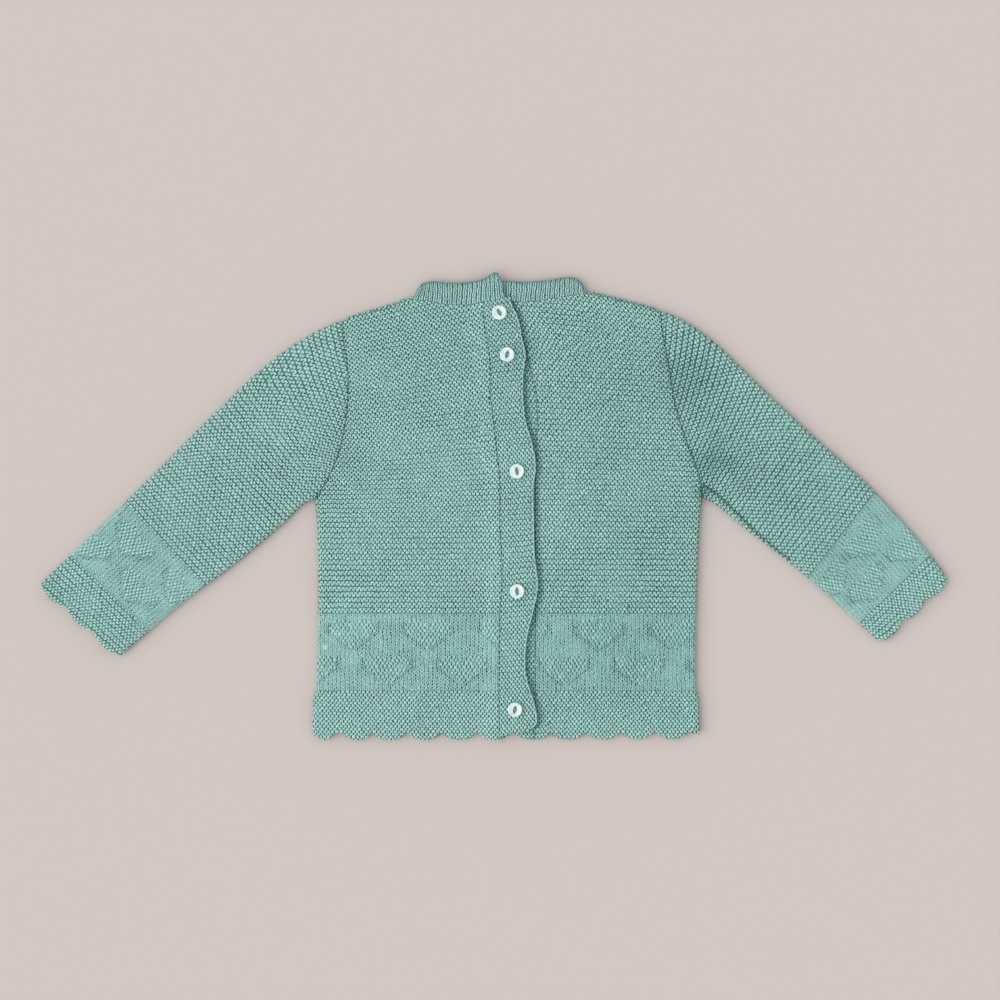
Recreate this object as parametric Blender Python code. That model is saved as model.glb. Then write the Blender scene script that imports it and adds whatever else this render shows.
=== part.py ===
"""Baby sweater in knitted cotton, laid flat on its front with the buttoned back up.

The frame is in metres with +Z up. X runs across the chest and Y from hem to collar. The origin is
the middle of the bounding box in X and Y, on the surface that the sweater lies on. All sizes and
tables below are in millimetres, and MM turns them into metres where a mesh is made.

The garment lies in up to four layers of cloth, each a wall of CLOTH_WALL with LAYER_GAP between:
front, back and button band, then the buttonhole band. A tube that is folded flat, such as a
sleeve or the collar at its sides, turns from the lower layer to the upper one in a half circle.
"""

import math

import bmesh
import bpy
import numpy as np
from mathutils import Vector

MM = 0.001

# Cloth: garter stitch in a cotton yarn of about 1.3 mm
CLOTH_WALL = 2.6
LAYER_GAP = 0.4
SEAM_GAP = 0.35
LAYER_STEP = CLOTH_WALL + LAYER_GAP
FOLD_OUTER = CLOTH_WALL + LAYER_GAP / 2
FOLD_INNER = LAYER_GAP / 2
MID_HEIGHT = FOLD_OUTER

# Edges: the wall left at a cut or sewn edge, and how far in it reaches its full thickness
EDGE_WALL_SHARE = 0.4
ROUNDING_SHARE = 0.82
ROUNDING_TURN = math.radians(45)
ROUNDING_STEP = FOLD_OUTER * (1 - math.cos(ROUNDING_TURN))

# Knitted-in scallops at hem and cuffs
SCALLOP_STEPS = 4
SCALLOP_FULLNESS = 0.8
HEM_NOTCH_HEIGHT = -158.5
HEM_SCALLOP_DEPTH = 4.9
HEM_TILT = 0.004
HEM_CORNER_SHARE = 0.2
HEM_CORNER_REACH = 10.0
CUFF_SCALLOP_DEPTH = 3.4
CUFF_SCALLOPS = 3

COLLAR_HEIGHT = 15.4
COLLAR_CHAMFER_SHARE = 0.88
OPENING_LIFT_REACH = 14.0
SLEEVE_LOFT = 1.2
SLEEVE_LOFT_FULLNESS = 0.5
BUTTON_DIAMETER = 10.2
BUTTON_THICKNESS = 2.5
BUTTON_SIDES = 20
BUTTON_HEIGHT = 2 * LAYER_STEP + CLOTH_WALL + SEAM_GAP

# Body, left of the photo: side seam from hem to underarm, then armhole to the shoulder tip
BODY_LEFT_EDGE = (
    # x, y
    (-127.2, -158.5),
    (-126.9, -155.7),
    (-126.0, -134.0),
    (-124.3, -124.0),
    (-122.8, -62.0),
    (-123.4, -14.0),
    (-124.6, 5.5),
    (-115.4, 20.5),
    (-107.4, 41.5),
    (-102.9, 66.0),
    (-102.0, 92.0),
    (-105.0, 115.5),
    (-106.3, 126.8),
    (-106.6, 129.6),
)
BODY_RIGHT_EDGE = (
    # x, y
    (144.0, -158.5),
    (143.8, -155.7),
    (142.7, -134.0),
    (140.9, -124.0),
    (141.4, -62.0),
    (143.4, -14.0),
    (145.4, 7.0),
    (143.8, 21.5),
    (134.6, 45.5),
    (127.0, 71.0),
    (122.6, 96.5),
    (118.2, 122.0),
    (116.8, 133.6),
    (116.5, 136.4),
)
ARMPIT_ROW = 6

# Neckline: the line that the collar is picked up from, on each back half
NECK_LEFT = (
    # x, y, from the side of the neck to the seam of the buttonhole band
    (-58.8, 144.8),
    (-46.2, 143.9),
    (-36.4, 141.9),
    (-26.6, 141.1),
    (-16.8, 141.4),
    (-8.0, 142.7),
)
NECK_LEFT_OPENING = (
    # x, y, on to the end of the upper collar half
    (2.8, 144.6),
    (7.4, 146.6),
)
NECK_RIGHT = (
    # x, y, from the seam of the button band to the side of the neck
    (12.6, 143.7),
    (19.6, 142.9),
    (28.7, 143.9),
    (38.5, 145.3),
    (48.3, 146.7),
    (56.7, 148.2),
    (65.9, 149.0),
)
NECK_RIGHT_HIDDEN = (
    # x, y, under the upper collar half
    (-2.8, 142.9),
    (5.0, 143.3),
)
FRONT_NECK = (
    # x, y, down to the lower front neckline and up again
    (-58.8, 144.8),
    (-50.5, 134.5),
    (-36.0, 125.5),
    (-17.0, 118.5),
    (3.5, 116.0),
    (25.0, 119.0),
    (44.0, 127.0),
    (58.0, 138.0),
    (65.9, 149.0),
)
FRONT_NECK_CHORDS = 12
NECK_POINT_LEFT = (-59.2, 145.9)
NECK_POINT_RIGHT = (66.4, 149.4)
SHOULDER_LEFT = (
    # x, y, from the shoulder tip to the neck
    (-106.6, 129.6),
    (-93.8, 134.0),
    (-71.4, 140.8),
    (-59.2, 145.9),
)
SHOULDER_RIGHT = (
    # x, y, from the neck to the shoulder tip
    (66.4, 149.4),
    (77.0, 147.0),
    (102.9, 140.6),
    (116.5, 136.4),
)
FRONT_SHOULDER_PEEP = 1.0

# Collar top edge, matching the neckline points one by one
COLLAR_TOP_LEFT = (
    # x, y, from the left fold to the opening
    (-52.2, 155.6),
    (-44.8, 157.7),
    (-36.0, 157.1),
    (-26.0, 156.6),
    (-15.8, 157.4),
    (-7.4, 159.4),
    (1.4, 163.8),
    (5.2, 158.6),
)
COLLAR_TOP_RIGHT = (
    # x, y, from the hidden end to the right fold
    (-2.8, 157.6),
    (5.0, 158.2),
    (12.9, 157.9),
    (21.2, 157.3),
    (30.2, 157.8),
    (39.6, 158.8),
    (49.0, 160.3),
    (57.0, 160.0),
    (63.0, 155.2),
)
COLLAR_FOLD_DEGREES = (45, 90, 135)

# Bands of the back opening, a row for each section from neck to hem
BUTTONHOLE_BAND = (
    # height, seam, free_edge
    (143.0, -7.6, 11.6),
    (132.0, -7.0, 16.8),
    (118.0, -5.0, 19.8),
    (106.0, -3.0, 22.1),
    (91.0, -2.4, 20.5),
    (76.0, -2.4, 20.6),
    (60.0, 0.0, 22.3),
    (45.0, 1.5, 26.5),
    (29.0, 3.2, 29.4),
    (14.0, 4.2, 27.7),
    (-9.5, 4.2, 27.9),
    (-32.0, 5.3, 28.4),
    (-56.0, 5.7, 30.8),
    (-76.0, 4.2, 26.8),
    (-96.0, 3.8, 22.6),
    (-118.0, 3.5, 22.6),
    (-138.0, 3.7, 28.4),
    (-151.0, 3.9, 30.1),
    (-157.0, 3.9, 23.8),
)
BUTTON_BAND_SEAM = (
    # height, seam
    (142.6, 13.0),
    (122.0, 18.5),
    (101.0, 24.5),
    (80.0, 29.2),
    (61.0, 30.4),
    (40.0, 29.4),
    (-18.0, 28.6),
    (-58.0, 29.2),
    (-110.0, 28.7),
    (-157.0, 29.4),
)
BAND_HEM = (
    # x, y, both bands end on this line
    (3.9, -161.6),
    (12.0, -158.6),
    (22.0, -157.8),
    (26.0, -156.6),
)
BUTTON_BAND_OVERHANG = 0.8
SECTION_SPACING = 1.5

# Scallop notches along the hem
HEM_LEFT_NOTCH = -110.2
HEM_LEFT_PITCH = 24.4
HEM_RIGHT_NOTCH = 40.4
HEM_RIGHT_PITCH = 24.1
HEM_FRONT_PITCH = 24.7

# Sleeves: the fold along the top and along the underarm, from body to cuff
SLEEVE_LEFT_TOP = (
    # x, y
    (-107.0, 129.5),
    (-112.4, 127.9),
    (-127.4, 120.6),
    (-149.8, 106.6),
    (-173.6, 86.4),
    (-203.0, 58.0),
    (-238.0, 23.0),
    (-273.7, -12.0),
    (-303.8, -41.0),
    (-317.4, -53.9),
)
SLEEVE_LEFT_UNDER = (
    # x, y
    (-125.0, 5.3),
    (-134.4, 1.2),
    (-148.2, -12.4),
    (-182.3, -40.8),
    (-220.0, -69.0),
    (-261.4, -104.2),
)
SLEEVE_RIGHT_TOP = (
    # x, y
    (116.9, 136.4),
    (123.9, 134.4),
    (137.2, 127.4),
    (154.7, 114.4),
    (177.1, 93.2),
    (199.5, 71.6),
    (229.6, 43.8),
    (261.1, 15.8),
    (289.6, -14.4),
    (304.6, -32.6),
    (317.5, -50.4),
)
SLEEVE_RIGHT_UNDER = (
    # x, y
    (145.8, 6.8),
    (157.0, 0.4),
    (172.2, -12.3),
    (209.0, -40.7),
    (240.0, -67.8),
    (269.6, -94.4),
)
SLEEVE_STATIONS = (0.0, 0.03, 0.12, 0.24, 0.4, 0.56, 0.72, 0.86, 0.97, 1.0)
ARMHOLE_SPLITS = 2

# Largest soft folds of the upper layer
FOLDS = (
    # start_x, start_y, end_x, end_y, half_width, height
    (152.0, 52.0, 166.0, 12.0, 9.0, 1.6),
    (-140.0, 40.0, -172.0, -8.0, 12.0, 0.9),
)

# Buttons: centre and the turn of the two holes from the length of the band
BUTTONS = (
    # x, y, turn_degrees
    (3.7, 135.4, 28.0),
    (9.2, 106.1, -14.0),
    (16.0, 24.6, 10.0),
    (16.1, -59.2, 6.0),
    (14.6, -141.8, -12.0),
)
BUTTON_PROFILE = (
    # radius_share, height_share
    (0.0, 0.0),
    (0.72, 0.0),
    (0.96, 0.3),
    (1.0, 0.6),
    (0.9, 0.95),
    (0.72, 1.0),
    (0.0, 0.84),
)
EYE_LENGTH = 5.6
EYE_WIDTH = 2.4
EYE_DEPTH = 0.9
EYE_LEVEL_SHARE = 0.88
EYE_SEGMENTS = 12
EYE_RINGS = 6
FACET_TURN = 4.0
DOUBLES_DISTANCE = 0.02
HOLE_SPACING = 2.5
HOLE_DIAMETER = 1.1
HOLE_SIDES = 10
HOLE_CUTTER_LENGTH = 3 * BUTTON_THICKNESS
BUTTON_SHARP_DEGREES = 40.0

# Finishes: linear colour, roughness
FINISHES = {
    "mint_knit": ((0.190, 0.432, 0.360), 0.92),
    "pearl_button": ((0.80, 0.82, 0.79), 0.25),
}


def clear_scene():
    """Remove what the new file holds, so that only the sweater is left."""
    for thing in list(bpy.data.objects):
        bpy.data.objects.remove(thing, do_unlink=True)


def finish(name):
    """Material of one of the finishes, with a copy of its own for each piece."""
    colour, roughness = FINISHES[name]
    material = bpy.data.materials.new(name)
    material.use_nodes = True
    shader = material.node_tree.nodes["Principled BSDF"]
    shader.inputs["Base Color"].default_value = (*colour, 1.0)
    shader.inputs["Roughness"].default_value = roughness
    shader.inputs["Metallic"].default_value = 0.0
    return material


def place(mesh, name, finish_name):
    """Turn a closed bmesh into a named object with its own material."""
    bmesh.ops.recalc_face_normals(mesh, faces=mesh.faces)
    data = bpy.data.meshes.new(name)
    mesh.to_mesh(data)
    mesh.free()
    data.materials.append(finish(finish_name))
    piece = bpy.data.objects.new(name, data)
    bpy.context.scene.collection.objects.link(piece)
    return piece


def at_length(points, fractions):
    """Points at fractions of a broken line's length."""
    points = np.asarray(points, dtype=float)
    steps = np.hypot(*np.diff(points, axis=0).T)
    reached = np.concatenate(([0.0], np.cumsum(steps)))
    wanted = np.asarray(fractions) * reached[-1]
    return np.stack([np.interp(wanted, reached, points[:, axis]) for axis in (0, 1)], axis=1)


def smooth(points, steps=12):
    """Catmull-Rom curve through a table's points, as a fine broken line."""
    points = np.asarray(points, dtype=float)
    ends = np.vstack((2 * points[0] - points[1], points, 2 * points[-1] - points[-2]))
    along = np.linspace(0.0, 1.0, steps, endpoint=False)[:, None]
    spans = []
    for before, start, end, after in zip(ends, ends[1:], ends[2:], ends[3:]):
        spans.append(0.5 * (
            2 * start
            + (end - before) * along
            + (2 * before - 5 * start + 4 * end - after) * along**2
            + (3 * start - before - 3 * end + after) * along**3
        ))
    return np.vstack((*spans, points[-1:]))


def split_chords(points, parts):
    """A broken line with each of its chords cut into equal parts."""
    points = np.asarray(points, dtype=float)
    marks = np.linspace(0, len(points) - 1, (len(points) - 1) * parts + 1)
    index = np.arange(len(points))
    return np.stack([np.interp(marks, index, points[:, axis]) for axis in (0, 1)], axis=1)


def offset(points, distance):
    """A broken line moved to its left by a distance, seen along its way."""
    points = np.asarray(points, dtype=float)
    ways = np.gradient(points, axis=0)
    ways /= np.linalg.norm(ways, axis=1)[:, None]
    return points + distance * np.stack((-ways[:, 1], ways[:, 0]), axis=1)


def section_edge(table, column, heights):
    """Edge of a band at given heights, from a table of sections."""
    rows = np.asarray(sorted(table), dtype=float)
    return np.stack((np.interp(heights, rows[:, 0], rows[:, column]), heights), axis=1)


def blend_grid(bottom, top, left, right):
    """Plan grid blended from its four edges; the first row is the bottom edge."""
    def shares(first, second):
        parts = []
        for edge in (first, second):
            steps = np.hypot(*np.diff(edge, axis=0).T)
            parts.append(np.concatenate(([0.0], np.cumsum(steps))) / steps.sum())
        return (parts[0] + parts[1]) / 2

    across = shares(bottom, top)[None, :, None]
    up = shares(left, right)[:, None, None]
    ruled = (1 - up) * bottom[None] + up * top[None] + (1 - across) * left[:, None]
    ruled = ruled + across * right[:, None]
    corners = (1 - across) * (1 - up) * bottom[0] + across * (1 - up) * bottom[-1]
    corners = corners + (1 - across) * up * top[0] + across * up * top[-1]
    return ruled - corners


def hem_height(xs, first_notch, pitch):
    """Height of the scalloped hem, rounding off towards both sides of the body."""
    drop = np.abs(np.sin(np.pi * (xs - first_notch) / pitch)) ** SCALLOP_FULLNESS
    to_side = np.minimum(xs - BODY_LEFT_EDGE[0][0], BODY_RIGHT_EDGE[0][0] - xs)
    drop = drop * np.clip(HEM_CORNER_SHARE + to_side / HEM_CORNER_REACH, 0.0, 1.0)
    return HEM_NOTCH_HEIGHT + HEM_TILT * xs - HEM_SCALLOP_DEPTH * drop


def scalloped(start, end, first_notch, pitch):
    """Hem from start to end in X, with a rounded scallop between notches."""
    marks = np.arange(first_notch, end, pitch)
    inside = [mark for mark in marks if start < mark < end]
    xs = []
    for low, high in zip((start, *inside), (*inside, end)):
        steps = max(2, round(SCALLOP_STEPS * (high - low) / pitch))
        xs.extend(np.linspace(low, high, steps, endpoint=False))
    xs = np.array((*xs, end))
    return np.stack((xs, hem_height(xs, first_notch, pitch)), axis=1)


def with_rounding_columns(edge, at_start, at_end):
    """Add the two columns that round a side edge, close to that end."""
    edge = np.asarray(edge, dtype=float)
    length = np.hypot(*np.diff(edge, axis=0).T).sum()
    near = np.array((ROUNDING_STEP, FOLD_OUTER)) / length
    parts = [edge]
    if at_start:
        parts = [edge[:1], at_length(edge, near), *[part[1:] for part in parts]]
    if at_end:
        parts = [*parts[:-1], parts[-1][:-1], at_length(edge, 1 - near[::-1]), edge[-1:]]
    return np.vstack(parts)


def edge_shares(rows, columns, left, right, hem, top):
    """Share of the wall's thickness at each grid point, thinner at rounded edges."""
    across = np.ones(columns)
    if left:
        across[:2] = (EDGE_WALL_SHARE, ROUNDING_SHARE)
    if right:
        across[-2:] = (ROUNDING_SHARE, EDGE_WALL_SHARE)
    up = np.ones(rows)
    if hem:
        up[0] = EDGE_WALL_SHARE
    if top:
        up[-1] = EDGE_WALL_SHARE
    return np.minimum(across[None, :], up[:, None])


def fold_rise(plan):
    """Height that the largest folds add at points of the plan."""
    rise = np.zeros(plan.shape[:-1])
    for start_x, start_y, end_x, end_y, half_width, height in FOLDS:
        start = np.array((start_x, start_y))
        way = np.array((end_x, end_y)) - start
        reach = np.clip(((plan - start) @ way) / (way @ way), 0.0, 1.0)
        away = np.linalg.norm(plan - start - reach[..., None] * way, axis=-1)
        rise += height * np.exp(-((away / half_width) ** 2))
    return rise


def slab(name, plan, low, high):
    """Closed cloth panel between two height grids over one plan grid."""
    mesh = bmesh.new()
    rows, columns = low.shape

    def layer(heights):
        return [
            [mesh.verts.new(Vector((*plan[row, column], heights[row, column])) * MM)
             for column in range(columns)]
            for row in range(rows)
        ]

    under, over = layer(low), layer(high)
    for row in range(rows - 1):
        for column in range(columns - 1):
            for sheet in (under, over):
                mesh.faces.new((
                    sheet[row][column],
                    sheet[row][column + 1],
                    sheet[row + 1][column + 1],
                    sheet[row + 1][column],
                ))
    rim = [(0, column) for column in range(columns)]
    rim += [(row, columns - 1) for row in range(1, rows)]
    rim += [(rows - 1, column) for column in range(columns - 2, -1, -1)]
    rim += [(row, 0) for row in range(rows - 2, 0, -1)]
    for (row, column), (next_row, next_column) in zip(rim, rim[1:] + rim[:1]):
        mesh.faces.new((
            under[row][column],
            under[next_row][next_column],
            over[next_row][next_column],
            over[row][column],
        ))
    return place(mesh, name, "mint_knit")


def loft(name, rings, closed):
    """Closed solid through rings of equal counts; closed joins last ring to first."""
    mesh = bmesh.new()
    loops = [[mesh.verts.new(Vector(point) * MM) for point in ring] for ring in rings]
    pairs = list(zip(loops, loops[1:]))
    if closed:
        pairs.append((loops[-1], loops[0]))
    else:
        mesh.faces.new(loops[0][::-1])
        mesh.faces.new(loops[-1])
    for ring, following in pairs:
        for here in range(len(ring)):
            after = (here + 1) % len(ring)
            mesh.faces.new((ring[here], ring[after], following[after], following[here]))
    return place(mesh, name, "mint_knit")


def front_neck_points():
    """Chord ends along the front neckline."""
    return at_length(smooth(FRONT_NECK), np.linspace(0, 1, FRONT_NECK_CHORDS + 1))


def neck_edge(line, left_point=None, right_point=None):
    """Panel edge along a neckline, with a step up to the shoulder at its outer ends."""
    edge = split_chords(offset(line, -SEAM_GAP), 2)
    if left_point is not None:
        edge[0, 0] -= SEAM_GAP
        edge = np.vstack((left_point, edge))
    if right_point is not None:
        edge[-1, 0] += SEAM_GAP
        edge = np.vstack((edge, right_point))
    return edge


def build_front():
    """Whole front panel, the bottom layer, flat on the surface."""
    bottom = with_rounding_columns(
        scalloped(BODY_LEFT_EDGE[0][0], BODY_RIGHT_EDGE[0][0], HEM_LEFT_NOTCH, HEM_FRONT_PITCH),
        True, True,
    )
    neck = neck_edge(front_neck_points(), NECK_POINT_LEFT, NECK_POINT_RIGHT)
    shoulder_columns = len(bottom) - 4 - len(neck) + 2
    left_count = shoulder_columns // 2
    right_count = shoulder_columns - left_count
    peep = np.array((0.0, FRONT_SHOULDER_PEEP))
    left = at_length(SHOULDER_LEFT, np.linspace(0, 1, left_count))
    left[1:-1] += peep
    right = at_length(SHOULDER_RIGHT, np.linspace(0, 1, right_count))
    right[1:-1] += peep
    top = with_rounding_columns(np.vstack((left[:-1], neck, right[1:])), True, True)
    left_edge = np.vstack((bottom[0], BODY_LEFT_EDGE[1:]))
    right_edge = np.vstack((bottom[-1], BODY_RIGHT_EDGE[1:]))
    plan = blend_grid(bottom, top, left_edge, right_edge)
    share = edge_shares(*plan.shape[:2], True, True, True, False)
    high = np.full(share.shape, CLOTH_WALL)
    return slab("front", plan, CLOTH_WALL * (1 - share), high)


def seam_at_rows(body_edge, table, neck_height):
    """Seam of a band at the grid rows of the back half that it is sewn to."""
    rows = np.array([y for x, y in body_edge])
    heights = rows.copy()
    heights[ARMPIT_ROW:] = np.interp(
        rows[ARMPIT_ROW:], (rows[ARMPIT_ROW], rows[-1]), (rows[ARMPIT_ROW], neck_height)
    )
    return section_edge(table, 1, heights)


def build_back_left():
    """Back half on the left, lifted over the button band towards the opening."""
    seam = seam_at_rows(BODY_LEFT_EDGE, BUTTONHOLE_BAND, NECK_LEFT[-1][1] - SEAM_GAP)
    seam[:, 0] -= SEAM_GAP
    bottom = with_rounding_columns(
        scalloped(BODY_LEFT_EDGE[0][0], seam[0, 0], HEM_LEFT_NOTCH, HEM_LEFT_PITCH), True, False
    )
    seam[0] = bottom[-1]
    neck = neck_edge(NECK_LEFT, left_point=NECK_POINT_LEFT)
    neck[-1] = seam[-1]
    shoulder = at_length(SHOULDER_LEFT, np.linspace(0, 1, len(bottom) - 2 - len(neck) + 1))
    top = with_rounding_columns(np.vstack((shoulder[:-1], neck)), True, False)
    plan = blend_grid(bottom, top, np.vstack((bottom[0], BODY_LEFT_EDGE[1:])), seam)
    share = edge_shares(*plan.shape[:2], True, False, True, True)
    nearness = np.clip(1 - (plan[:, -1:, 0] - plan[..., 0]) / OPENING_LIFT_REACH, 0, 1)
    low = LAYER_STEP + LAYER_STEP * nearness**2 * (3 - 2 * nearness)
    return slab("back_left", plan, low, low + CLOTH_WALL * share)


def build_back_right():
    """Back half on the right, level with the button band that is sewn to it."""
    seam = seam_at_rows(BODY_RIGHT_EDGE, BUTTON_BAND_SEAM, NECK_RIGHT[0][1] - SEAM_GAP)
    seam[:, 0] += SEAM_GAP
    bottom = with_rounding_columns(
        scalloped(seam[0, 0], BODY_RIGHT_EDGE[0][0], HEM_RIGHT_NOTCH, HEM_RIGHT_PITCH), False, True
    )
    seam[0] = bottom[0]
    neck = neck_edge(NECK_RIGHT, right_point=NECK_POINT_RIGHT)
    neck[0] = seam[-1]
    shoulder = at_length(SHOULDER_RIGHT, np.linspace(0, 1, len(bottom) - 2 - len(neck) + 1))
    top = with_rounding_columns(np.vstack((neck, shoulder[1:])), False, True)
    plan = blend_grid(bottom, top, seam, np.vstack((bottom[-1], BODY_RIGHT_EDGE[1:])))
    share = edge_shares(*plan.shape[:2], False, True, True, True)
    low = np.full(share.shape, LAYER_STEP)
    return slab("back_right", plan, low, low + CLOTH_WALL * share)


def build_sleeve(name, top_fold, under_fold, body_edge, side):
    """Sleeve as an open tube folded flat, from the armhole to the scalloped cuff."""
    armhole = split_chords(body_edge[ARMPIT_ROW:][::-1], ARMHOLE_SPLITS)
    armhole = with_rounding_columns(offset(armhole, -side * SEAM_GAP), True, True)
    top_line = at_length(smooth(top_fold), SLEEVE_STATIONS)
    under_line = at_length(smooth(under_fold), SLEEVE_STATIONS)
    top_line[0] = armhole[0]
    under_line[0] = armhole[-1]
    inner_columns = len(armhole) - 4
    straight = np.stack((top_line[-1], under_line[-1]))
    cuff = at_length(straight, np.linspace(0, 1, inner_columns))
    way = straight[1] - straight[0]
    outward = np.array((way[1], -way[0])) * side / np.linalg.norm(way)
    phase = np.linspace(0, CUFF_SCALLOPS, inner_columns)
    bulge = CUFF_SCALLOP_DEPTH * np.abs(np.sin(np.pi * phase)) ** SCALLOP_FULLNESS
    cuff = with_rounding_columns(cuff + outward * bulge[:, None], True, True)
    plan = blend_grid(armhole, cuff, top_line, under_line)

    rows, columns = plan.shape[:2]
    loft_up = SLEEVE_LOFT * np.sin(np.linspace(0, math.pi, columns))[None, :]
    along = np.sin(np.linspace(0, math.pi, rows))[:, None] ** SLEEVE_LOFT_FULLNESS
    rise = loft_up * along + fold_rise(plan)
    lift = np.ones(columns)
    lift[[0, 1, -2, -1]] = (0.0, math.sin(ROUNDING_TURN), math.sin(ROUNDING_TURN), 0.0)
    inner_plan = plan.copy()
    for near, inward in ((0, 2), (-1, -3)):
        edge = plan[:, near]
        reach = plan[:, inward] - edge
        step = 1 if near == 0 else -1
        inner_plan[:, near] = edge + reach * (FOLD_OUTER - FOLD_INNER) / FOLD_OUTER
        corner = FOLD_OUTER - FOLD_INNER * math.cos(ROUNDING_TURN)
        inner_plan[:, near + step] = edge + reach * corner / FOLD_OUTER

    def ring(flat, radius, row):
        above = [
            (*flat[row, column], MID_HEIGHT + radius * lift[column] + rise[row, column] * lift[column])
            for column in range(columns)
        ]
        below = [
            (*flat[row, column], MID_HEIGHT - radius * lift[column])
            for column in range(columns - 2, 0, -1)
        ]
        return above + below

    outer = [ring(plan, FOLD_OUTER, row) for row in range(rows)]
    inner = [ring(inner_plan, FOLD_INNER, row) for row in range(rows)]
    return loft(name, outer + inner[::-1], True)


def collar_ring(base, top, outward, degrees, lift):
    """Section of the collar's wall; degrees 0 lies on top and 180 underneath."""
    base, top, outward = np.array(base), np.array(top), np.array(outward)
    sine, cosine = math.sin(math.radians(degrees)), math.cos(math.radians(degrees))
    ring = []
    for share, radius in (
        (0.0, FOLD_OUTER),
        (COLLAR_CHAMFER_SHARE, FOLD_OUTER),
        (1.0, (FOLD_OUTER + FOLD_INNER) / 2),
        (COLLAR_CHAMFER_SHARE, FOLD_INNER),
        (0.0, FOLD_INNER),
    ):
        spot = base + share * (top - base) + outward * radius * sine
        ring.append((*spot, MID_HEIGHT + radius * cosine + lift))
    return ring


def build_collar():
    """Neckband folded flat: over the right back, under the front, up on the left back."""
    left_base = (*NECK_LEFT, *NECK_LEFT_OPENING)[::-1]
    left_top = COLLAR_TOP_LEFT[::-1]
    right_base = (*NECK_RIGHT_HIDDEN, *NECK_RIGHT)
    opening = NECK_LEFT[-1][0]
    rings = []
    for base, top in zip(left_base[:-1], left_top[:-1]):
        nearness = min(max(1 - (opening - base[0]) / OPENING_LIFT_REACH, 0), 1)
        lift = LAYER_STEP * nearness**2 * (3 - 2 * nearness)
        rings.append(collar_ring(base, top, (0, 0), 0, lift))
    for degrees in (0, *COLLAR_FOLD_DEGREES, 180):
        inward = np.array((FOLD_OUTER, 0.0))
        rings.append(collar_ring(
            np.array(left_base[-1]) + inward, np.array(left_top[-1]) + inward, (-1, 0), degrees, 0.0
        ))
    front_base = front_neck_points()
    front_top = offset(front_base, COLLAR_HEIGHT)
    for base, top in zip(front_base[1:-1], front_top[1:-1]):
        rings.append(collar_ring(base, top, (0, 0), 180, 0.0))
    for degrees in (180, *COLLAR_FOLD_DEGREES[::-1], 0):
        inward = np.array((-FOLD_OUTER, 0.0))
        rings.append(collar_ring(
            np.array(right_base[-1]) + inward,
            np.array(COLLAR_TOP_RIGHT[-1]) + inward,
            (1, 0), degrees, 0.0,
        ))
    for base, top in zip(right_base[-2::-1], COLLAR_TOP_RIGHT[-2::-1]):
        rings.append(collar_ring(base, top, (0, 0), 0, 0.0))
    return loft("collar", rings, False)


def build_band(name, left, right, neckline, level):
    """Band between its two long edges, rounded at both and ending at the neckline."""
    share = np.array((EDGE_WALL_SHARE, 1.0, 1.0, 1.0, EDGE_WALL_SHARE))
    near = CLOTH_WALL / 2
    across = right[:, 0] - left[:, 0]
    columns = []
    for distance in (0 * across, near, across / 2, across - near, across):
        spot = left.copy()
        spot[:, 0] += distance
        columns.append(spot)
    plan = np.stack(columns, axis=1)
    neckline = np.array(neckline)
    plan[-1, :, 1] = np.interp(plan[-1, :, 0], neckline[:, 0], neckline[:, 1]) - SEAM_GAP
    hem = np.array(BAND_HEM)
    plan[0, :, 1] = np.interp(plan[0, :, 0], hem[:, 0], hem[:, 1])
    low = np.full(plan.shape[:2], level)
    return slab(name, plan, low, low + CLOTH_WALL * share[None, :])


def band_heights(table, seam):
    """Heights of a band's sections: those of its table and of the seam's corners."""
    own = [row[0] for row in table]
    low, high = min(own), max(own)
    shared = [y for y in seam[:, 1] if low + SECTION_SPACING < y < high - SECTION_SPACING]
    own = [y for y in own if min(abs(y - other) for other in shared) > SECTION_SPACING]
    return np.array(sorted(own + shared))


def build_bands():
    """Both bands of the opening, the buttonhole band lying on the button band."""
    corners = seam_at_rows(BODY_LEFT_EDGE, BUTTONHOLE_BAND, NECK_LEFT[-1][1] - SEAM_GAP)
    heights = band_heights(BUTTONHOLE_BAND, corners)
    seam = np.stack((np.interp(heights, corners[:, 1], corners[:, 0]), heights), axis=1)
    edge = section_edge(BUTTONHOLE_BAND, 2, heights)
    neckline = (NECK_LEFT[-1], *NECK_LEFT_OPENING)
    build_band("buttonhole_band", seam, edge, neckline, 2 * LAYER_STEP)

    corners = seam_at_rows(BODY_RIGHT_EDGE, BUTTON_BAND_SEAM, NECK_RIGHT[0][1] - SEAM_GAP)
    heights = band_heights(BUTTON_BAND_SEAM, corners)
    seam = np.stack((np.interp(heights, corners[:, 1], corners[:, 0]), heights), axis=1)
    hidden = section_edge(BUTTONHOLE_BAND, 1, heights)
    hidden[:, 0] += BUTTON_BAND_OVERHANG
    neckline = (*NECK_RIGHT_HIDDEN, NECK_RIGHT[0])
    build_band("button_band", hidden, seam, neckline, LAYER_STEP)


def cutter(name, mesh, height):
    """Hidden solid for a Boolean, at a height over the button's centre."""
    data = bpy.data.meshes.new(name)
    mesh.to_mesh(data)
    mesh.free()
    tool = bpy.data.objects.new(name, data)
    bpy.context.scene.collection.objects.link(tool)
    tool.location = (0.0, 0.0, height * MM)
    tool.hide_render = True
    tool.display_type = "WIRE"
    return tool


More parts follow.
